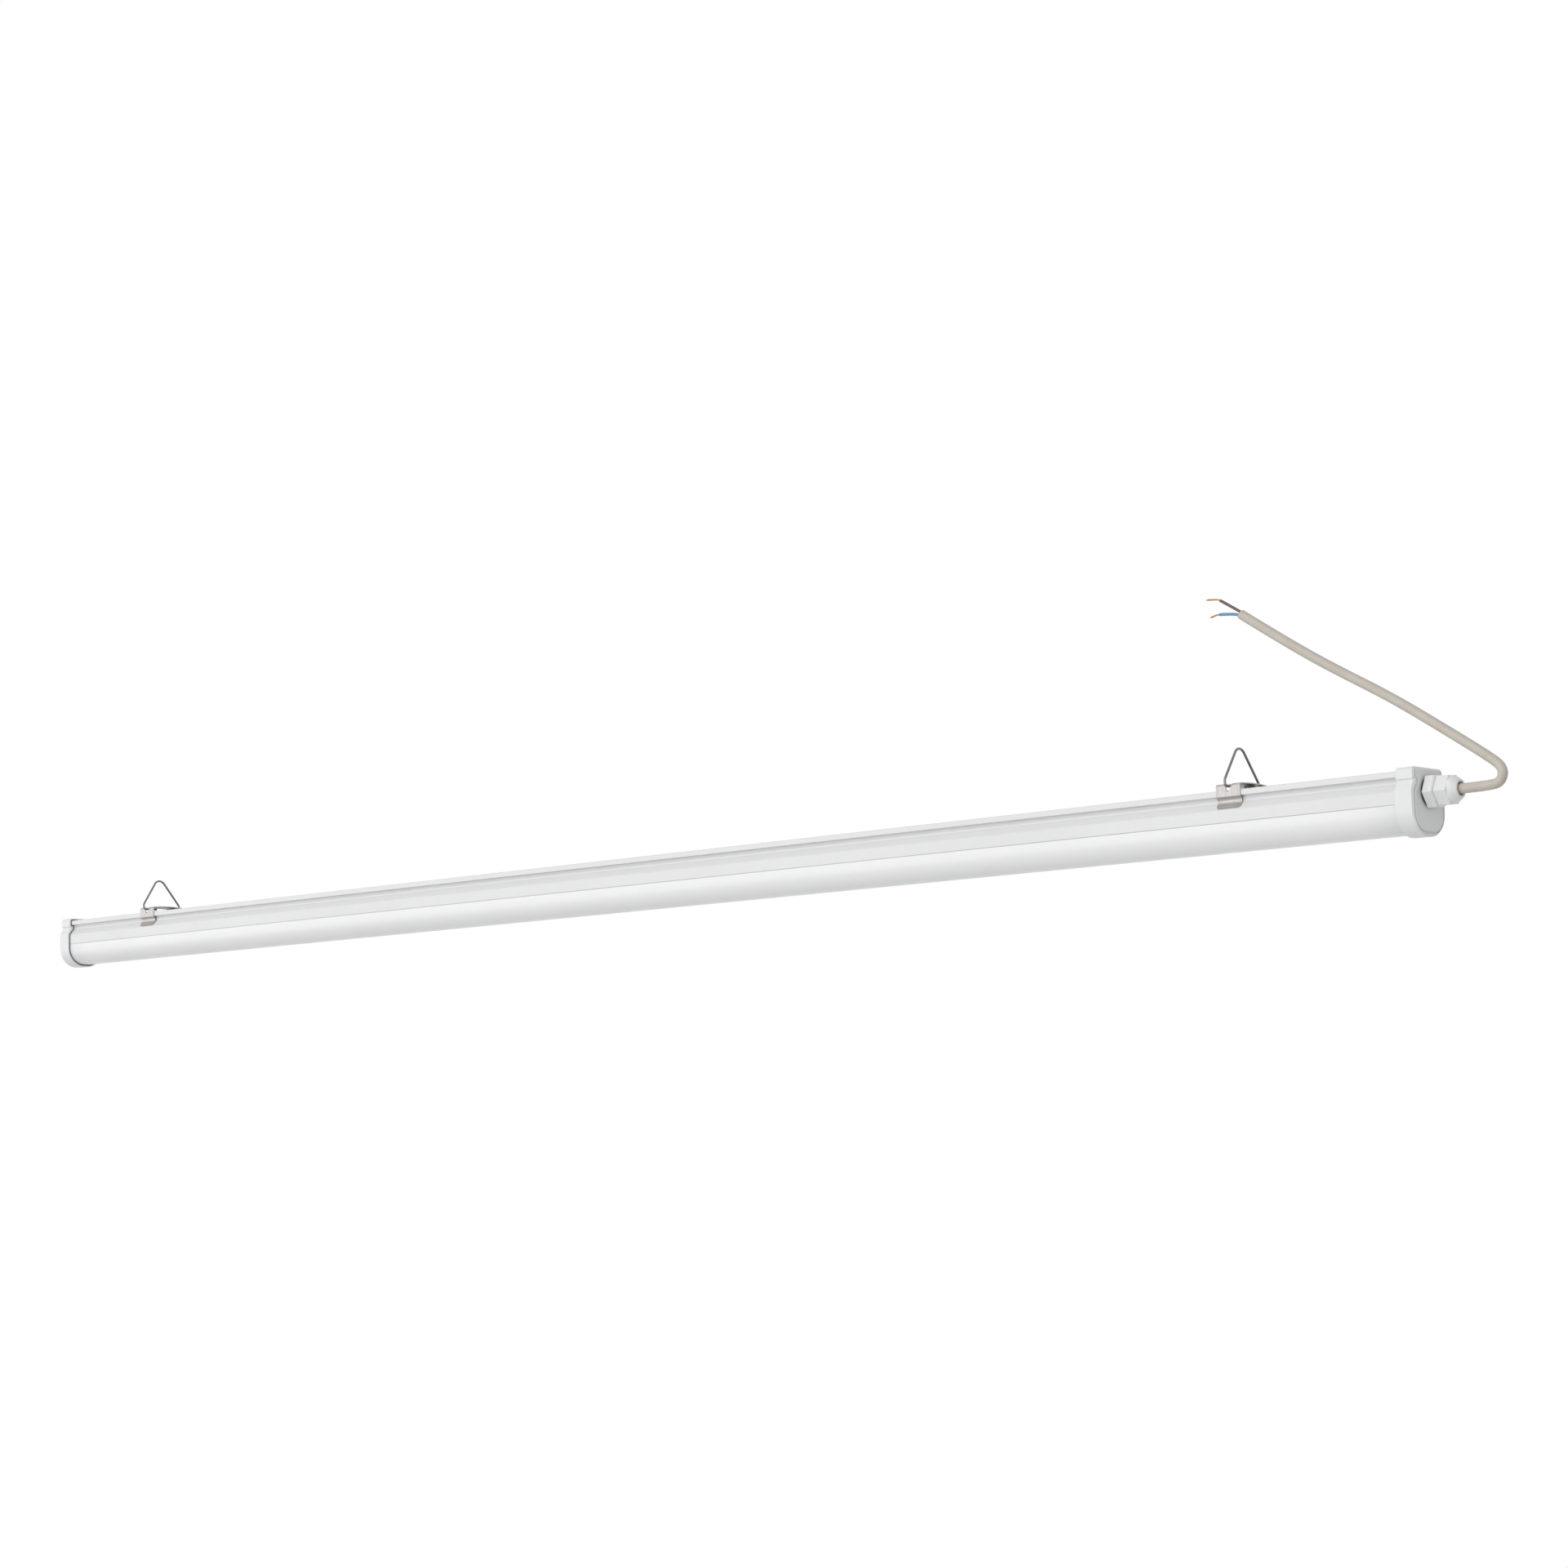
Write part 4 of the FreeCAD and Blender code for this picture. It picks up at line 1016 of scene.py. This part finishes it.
@dataclass
class Cable:
    """The two-core lead: it leaves the gland, folds back over the tube and ends bare."""

    exit: Vector = field(default_factory=lambda: Vector((773.7, 0.0, -43.036884)) * MM)
    radius: float = 3.4 * MM
    length: float = 0.2752
    offsets: tuple[Point, ...] = (  # control points from the exit, in mm
        (0.0, 0.0, 0.0), (10.3, 0.0, 0.0), (21.0, 0.0, 0.2), (30.7, 0.2, 1.2), (33.2, 0.5, 10.8),
        (20.6, 0.9, 20.2), (-5.1, 1.6, 37.0), (-50.9, 2.2, 66.4), (-97.1, 1.4, 92.1),
        (-132.3, 0.5, 113.8), (-166.7, 0.0, 136.5),
    )
    swell: tuple[float, ...] = (  # shares of the radius at the control points
        1.0, 1.0, 0.995, 0.985, 0.99, 1.0, 1.0, 0.995, 1.005, 0.995, 1.0,
    )
    cut_depth: float = 0.9 * MM
    rim: tuple[Pair, ...] = (  # shares of the radius and of the cut's depth
        (0.985, -1.0), (1.0, -0.3), (1.0, 0.88), (0.97, 1.0), (0.80, 0.98), (0.75, 0.7),
        (0.74, 0.05),
    )
    rim_steps: int = 48
    rim_start: float = 0.6  # share of the cut's depth from which the rim is uneven
    unevenness: float = 0.06  # of the rim, in mm
    dome: tuple[Pair, ...] = ((0.75, 0.12), (0.5, 0.3), (0.0, 0.34))  # shares of radius, mm
    dome_steps: int = 32
    seed: int = 5
    skin: Sheath = Sheath(
        "cable_skin", (0.592, 0.548, 0.48), (0.522, 0.478, 0.415), roughness=0.48,
        patch_scale=70.0,
    )
    filler: Sheath = Sheath(
        "cable_filler", (0.80, 0.79, 0.76), (0.68, 0.66, 0.63), roughness=0.7, patch_scale=400.0
    )

    def end(self) -> Vector:
        """Where the sheath is cut."""
        return self.exit + Vector(self.offsets[-1]) * MM

    def direction(self) -> Vector:
        """The way that the cable points at its cut end."""
        return (Vector(self.offsets[-1]) - Vector(self.offsets[-2])).normalized()

    def cut_rim(self) -> bpy.types.Mesh:
        """The rim that the knife left, a little uneven, around the cores.

        Returns:
            The mesh, in place.
        """
        end, axis = self.end(), self.direction()
        profile = [(self.radius * out, self.cut_depth * along) for out, along in self.rim]
        mesh = turned_mesh("cable_rim", profile, end, axis, self.rim_steps)
        chance = random.Random(self.seed)
        for vertex in mesh.vertices:
            if (vertex.co - end).dot(axis) > self.cut_depth * self.rim_start:
                vertex.co += axis * chance.uniform(-self.unevenness, self.unevenness) * MM
        return mesh

    def build(self, ends: "BareEnds") -> None:
        """Args:
            ends: its stripped cores; not used.
        """
        route = [self.exit + Vector(offset) * MM for offset in self.offsets]
        curve = smooth_line("cable", route, self.radius, self.swell)
        skin = dress(self.skin, "cable_inlet")
        cable = new_piece("cable_lead", curve, skin)
        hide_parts("cable")
        rim = new_piece("cable_rim", self.cut_rim(), skin)
        inside = [(self.radius * out, height * MM) for out, height in self.dome]
        mesh = turned_mesh("cable_filler", inside, self.end(), self.direction(), self.dome_steps)
        filler = new_piece("cable_filler", mesh, self.filler.material())


@dataclass
class BareEnds:
    """The brown and the blue core with their twisted copper."""

    drop: float = 70.436884  # height of the hanging line above the points' zero, in mm
    core_radius: float = 1.05 * MM
    strand_radius: float = 0.115 * MM
    rings: tuple[tuple[int, float], ...] = ((1, 0.0), (6, 0.24), (12, 0.47))  # wires, mm out
    twist: float = 260.0  # turn of the wires, in radians per metre
    shortest: int = 4  # points that a wire keeps
    uneven_cut: float = 0.06  # share of a wire that may be missing
    looseness: float = 0.22  # of a wire's tip, in mm
    flare: int = 3  # power by which it grows
    live: tuple[Point, ...] = (
        (608.6, 0.0, 164.4), (607.3, 0.0, 165.3), (604.8, -0.04, 166.91), (597.0, -0.02, 171.7),
        (589.1, 0.0, 176.4),
    )
    live_copper: tuple[Point, ...] = (
        (590.0, 0.0, 175.9), (588.07, 0.0, 177.02), (586.0, 0.0, 177.5), (577.2, 0.0, 178.3),
    )
    neutral: tuple[Point, ...] = (
        (607.2, 0.0, 162.3), (606.0, 0.0, 163.0), (603.36, -0.04, 164.75), (596.2, 0.0, 166.0),
        (588.2, 0.0, 166.6),
    )
    neutral_copper: tuple[Point, ...] = (
        (589.2, 0.0, 166.55), (587.0, 0.0, 166.69), (584.0, 0.0, 166.3), (580.4, 0.0, 165.3),
    )
    seeds: tuple[int, int] = (11, 12)  # of the two bundles
    brown: Sheath = Sheath(
        "core_brown", (0.145, 0.10, 0.09), (0.11, 0.075, 0.068), patch_scale=300.0
    )
    blue: Sheath = Sheath(
        "core_blue", (0.14, 0.33, 0.54), (0.10, 0.26, 0.45), patch_scale=300.0
    )
    copper: Steel = Steel(
        "bare_copper", (0.64, 0.37, 0.17), (0.47, 0.25, 0.11), run=Run.EVERYWHERE,
        line_scale=3000.0, lines=0.5,
    )
    pieces: list[bpy.types.Object] = field(default_factory=list)

    def placed(self, points: tuple[Point, ...]) -> list[Vector]:
        """Control points as measured from the hanging line, in metres."""
        return [Vector((x, y, z - self.drop)) * MM for x, y, z in points]

    def wound(
        self, line: list[Vector], kept: int, start: float, distance: float, loose: float
    ) -> list[Vector]:
        """Points of one wire, wound around a bundle's line.

        Args:
            line: the bundle's line.
            kept: how many of its points the wire follows.
            start: the angle at which the wire starts.
            distance: from the line, in mm.
            loose: how much farther out the tip may stand, in mm.

        Returns:
            The wire's points.
        """
        found = []
        walked = 0.0
        for place, point in enumerate(line[:kept]):
            ahead = line[min(place + 1, len(line) - 1)] - line[max(place - 1, 0)]
            side = ahead.cross(Vector((0, 1, 0))).normalized()
            level = side.cross(ahead).normalized()
            if place:
                walked += (point - line[place - 1]).length
            angle = start + self.twist * walked
            reach = (distance + loose * (place / len(line)) ** self.flare) * MM
            found.append(point + (side * math.cos(angle) + level * math.sin(angle)) * reach)
        return found

    def strands(self, name: str, points: tuple[Point, ...], seed: int) -> bpy.types.Curve:
        """A bundle of fine wires, laid around one smooth line and a little loose at its tip.

        Args:
            name: the curve's name.
            points: the bundle's control points.
            seed: for the looseness.

        Returns:
            The curve, with one spline for each wire.
        """
        line = followed_points(self.placed(points))
        chance = random.Random(seed)
        bundle = bpy.data.curves.new(name, "CURVE")
        bundle.dimensions = "3D"
        bundle.bevel_depth = self.strand_radius
        bundle.bevel_resolution = WIRE_STEPS
        bundle.use_fill_caps = True
        for count, distance in self.rings:
            for index in range(count):
                cut = chance.uniform(0.0, self.uneven_cut)
                loose = chance.uniform(0.0, self.looseness)
                kept = max(self.shortest, round(len(line) * (1 - cut)))
                wire = self.wound(line, kept, 2 * math.pi * index / count, distance, loose)
                spline = bundle.splines.new("POLY")
                spline.points.add(len(wire) - 1)
                for end, place in zip(spline.points, wire):
                    end.co = (*place, 1.0)
        return bundle

    def build(self) -> None:
        """Make the cores and their copper."""
        copper = self.copper.material()
        for name, core, wire, skin, colour, seed in (
            ("live", self.live, self.live_copper, self.brown, "brown", self.seeds[0]),
            ("neutral", self.neutral, self.neutral_copper, self.blue, "blue", self.seeds[1]),
        ):
            curve = smooth_line(f"core_{name}", self.placed(core), self.core_radius)
            piece = new_piece(f"{name}_core", curve, skin.material())
            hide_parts(f"core_{name}")
            strands = self.strands(f"copper_{name}", wire, seed)
            bare = new_piece(f"{name}_strands", strands, copper)
            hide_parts(f"copper_{name}")
            self.pieces += [piece, bare]


@dataclass(frozen=True)
class Lamp:
    """One large, soft, distant lamp."""

    name: str
    strength: float
    place: Point  # the side that it shines from
    spread: float  # how wide it looks, in degrees

    def build(self) -> None:
        """Hang the lamp."""
        lamp = bpy.data.lights.new(self.name, "SUN")
        lamp.energy = self.strength
        lamp.angle = math.radians(self.spread)
        holder = put(bpy.data.objects.new(self.name, lamp))
        holder.rotation_euler = Vector(self.place).to_track_quat("Z", "Y").to_euler()


@dataclass
class Studio:
    """White surroundings, soft lamps, a pale floor far below and the camera."""

    camera_place: Point = (1.9488578, -1.9272368, -0.2850893)
    forward: Point = (-0.67325911, 0.73049595, 0.11444582)
    upward: Point = (0.09389871, -0.06905933, 0.99318369)
    lens: float = 78.15529
    sensor: float = 36.0
    far_clip: float = 60.0
    surround: float = 0.42
    lamps: tuple[Lamp, ...] = (
        Lamp("front", 0.64, (0.25, -1.0, -0.02), spread=70.0),
        Lamp("side", 0.54, (-0.67, -0.73, -0.05), spread=50.0),
        Lamp("above", 0.75, (0.0, -0.75, 0.66), spread=40.0),
    )
    floor_height: float = -2.2
    floor_radius: float = 5.5
    floor_sides: int = 96
    floor_colour: Colour = (0.9, 0.9, 0.9)
    floor_glow: float = 0.75  # share of white that the camera sees in it

    def seen(self, sketch: Sketch) -> Socket:
        """1 for rays from the camera, off gloss or through glass, 0 for the rest.

        Args:
            sketch: the tree to draw in.

        Returns:
            The output socket.
        """
        path = sketch.add("ShaderNodeLightPath").outputs
        first = sketch.math("MAXIMUM", path["Is Camera Ray"], path["Is Glossy Ray"])
        return sketch.math("MAXIMUM", first, path["Is Transmission Ray"])

    def light(self) -> None:
        """Set the surroundings and the lamps."""
        world = bpy.data.worlds.new("surroundings")
        bpy.context.scene.world = world
        world.use_nodes = True
        world.node_tree.nodes.clear()
        sketch = Sketch(world.node_tree)
        dim = sketch.add("ShaderNodeBackground", {"Color": WHITE, "Strength": self.surround})
        white = sketch.add("ShaderNodeBackground", {"Color": WHITE, "Strength": 1.0})
        feeds = {0: self.seen(sketch), 1: dim.outputs[0], 2: white.outputs[0]}
        mix = sketch.add("ShaderNodeMixShader", feeds)
        sketch.add("ShaderNodeOutputWorld", {"Surface": mix.outputs[0]})
        for lamp in self.lamps:
            lamp.build()

    def floor_material(self) -> bpy.types.Material:
        """Draw the floor's matt white, which the camera sees nearly as the background.

        Returns:
            The material.
        """
        material = bpy.data.materials.new("floor_white")
        material.use_nodes = True
        material.node_tree.nodes.clear()
        sketch = Sketch(material.node_tree)
        matt = sketch.add("ShaderNodeBsdfDiffuse", {"Color": self.floor_colour})
        glow = sketch.add("ShaderNodeEmission", {"Color": WHITE, "Strength": 1.0})
        share = sketch.times(self.seen(sketch), self.floor_glow)
        feeds = {0: share, 1: matt.outputs[0], 2: glow.outputs[0]}
        mix = sketch.add("ShaderNodeMixShader", feeds)
        sketch.add("ShaderNodeOutputMaterial", {"Surface": mix.outputs[0]})
        return material

    def floor(self) -> None:
        """Lay the pale floor."""
        shape = bmesh.new()
        bmesh.ops.create_circle(
            shape, cap_ends=True, segments=self.floor_sides, radius=self.floor_radius
        )
        bmesh.ops.translate(shape, verts=shape.verts[:], vec=(0, 0, self.floor_height))
        mesh = bpy.data.meshes.new("floor")
        shape.to_mesh(mesh)
        shape.free()
        mesh.materials.append(self.floor_material())
        put(bpy.data.objects.new("floor", mesh))

    def camera(self) -> None:
        """Set up the camera at the photograph's viewpoint."""
        data = bpy.data.cameras.new("camera")
        data.sensor_width = self.sensor
        data.lens = self.lens
        data.clip_end = self.far_clip
        forward, upward = Vector(self.forward), Vector(self.upward)
        turn = Matrix((forward.cross(upward), upward, -forward)).transposed().to_4x4()
        camera = put(bpy.data.objects.new("camera", data))
        camera.matrix_world = Matrix.Translation(self.camera_place) @ turn
        bpy.context.scene.camera = camera

    def build(self) -> None:
        """Set the stage."""
        bpy.context.scene.view_settings.view_transform = "Standard"
        self.camera()
        self.light()
        self.floor()


def main() -> None:
    """Build and dress the tube light, then set the stage."""
    logging.basicConfig(level=logging.INFO, format="%(message)s")
    Studio().build()
    ends = BareEnds()
    ends.build()
    Cable().build(ends)
    for assembly in (
        TubeBody(), EndCaps(), CableGland(), LightBoards(), Driver(), Wiring(), Hanging()
    ):
        assembly.build()
        LOG.info("%s is ready", type(assembly).__name__)


if __name__ == "__main__":
    main()
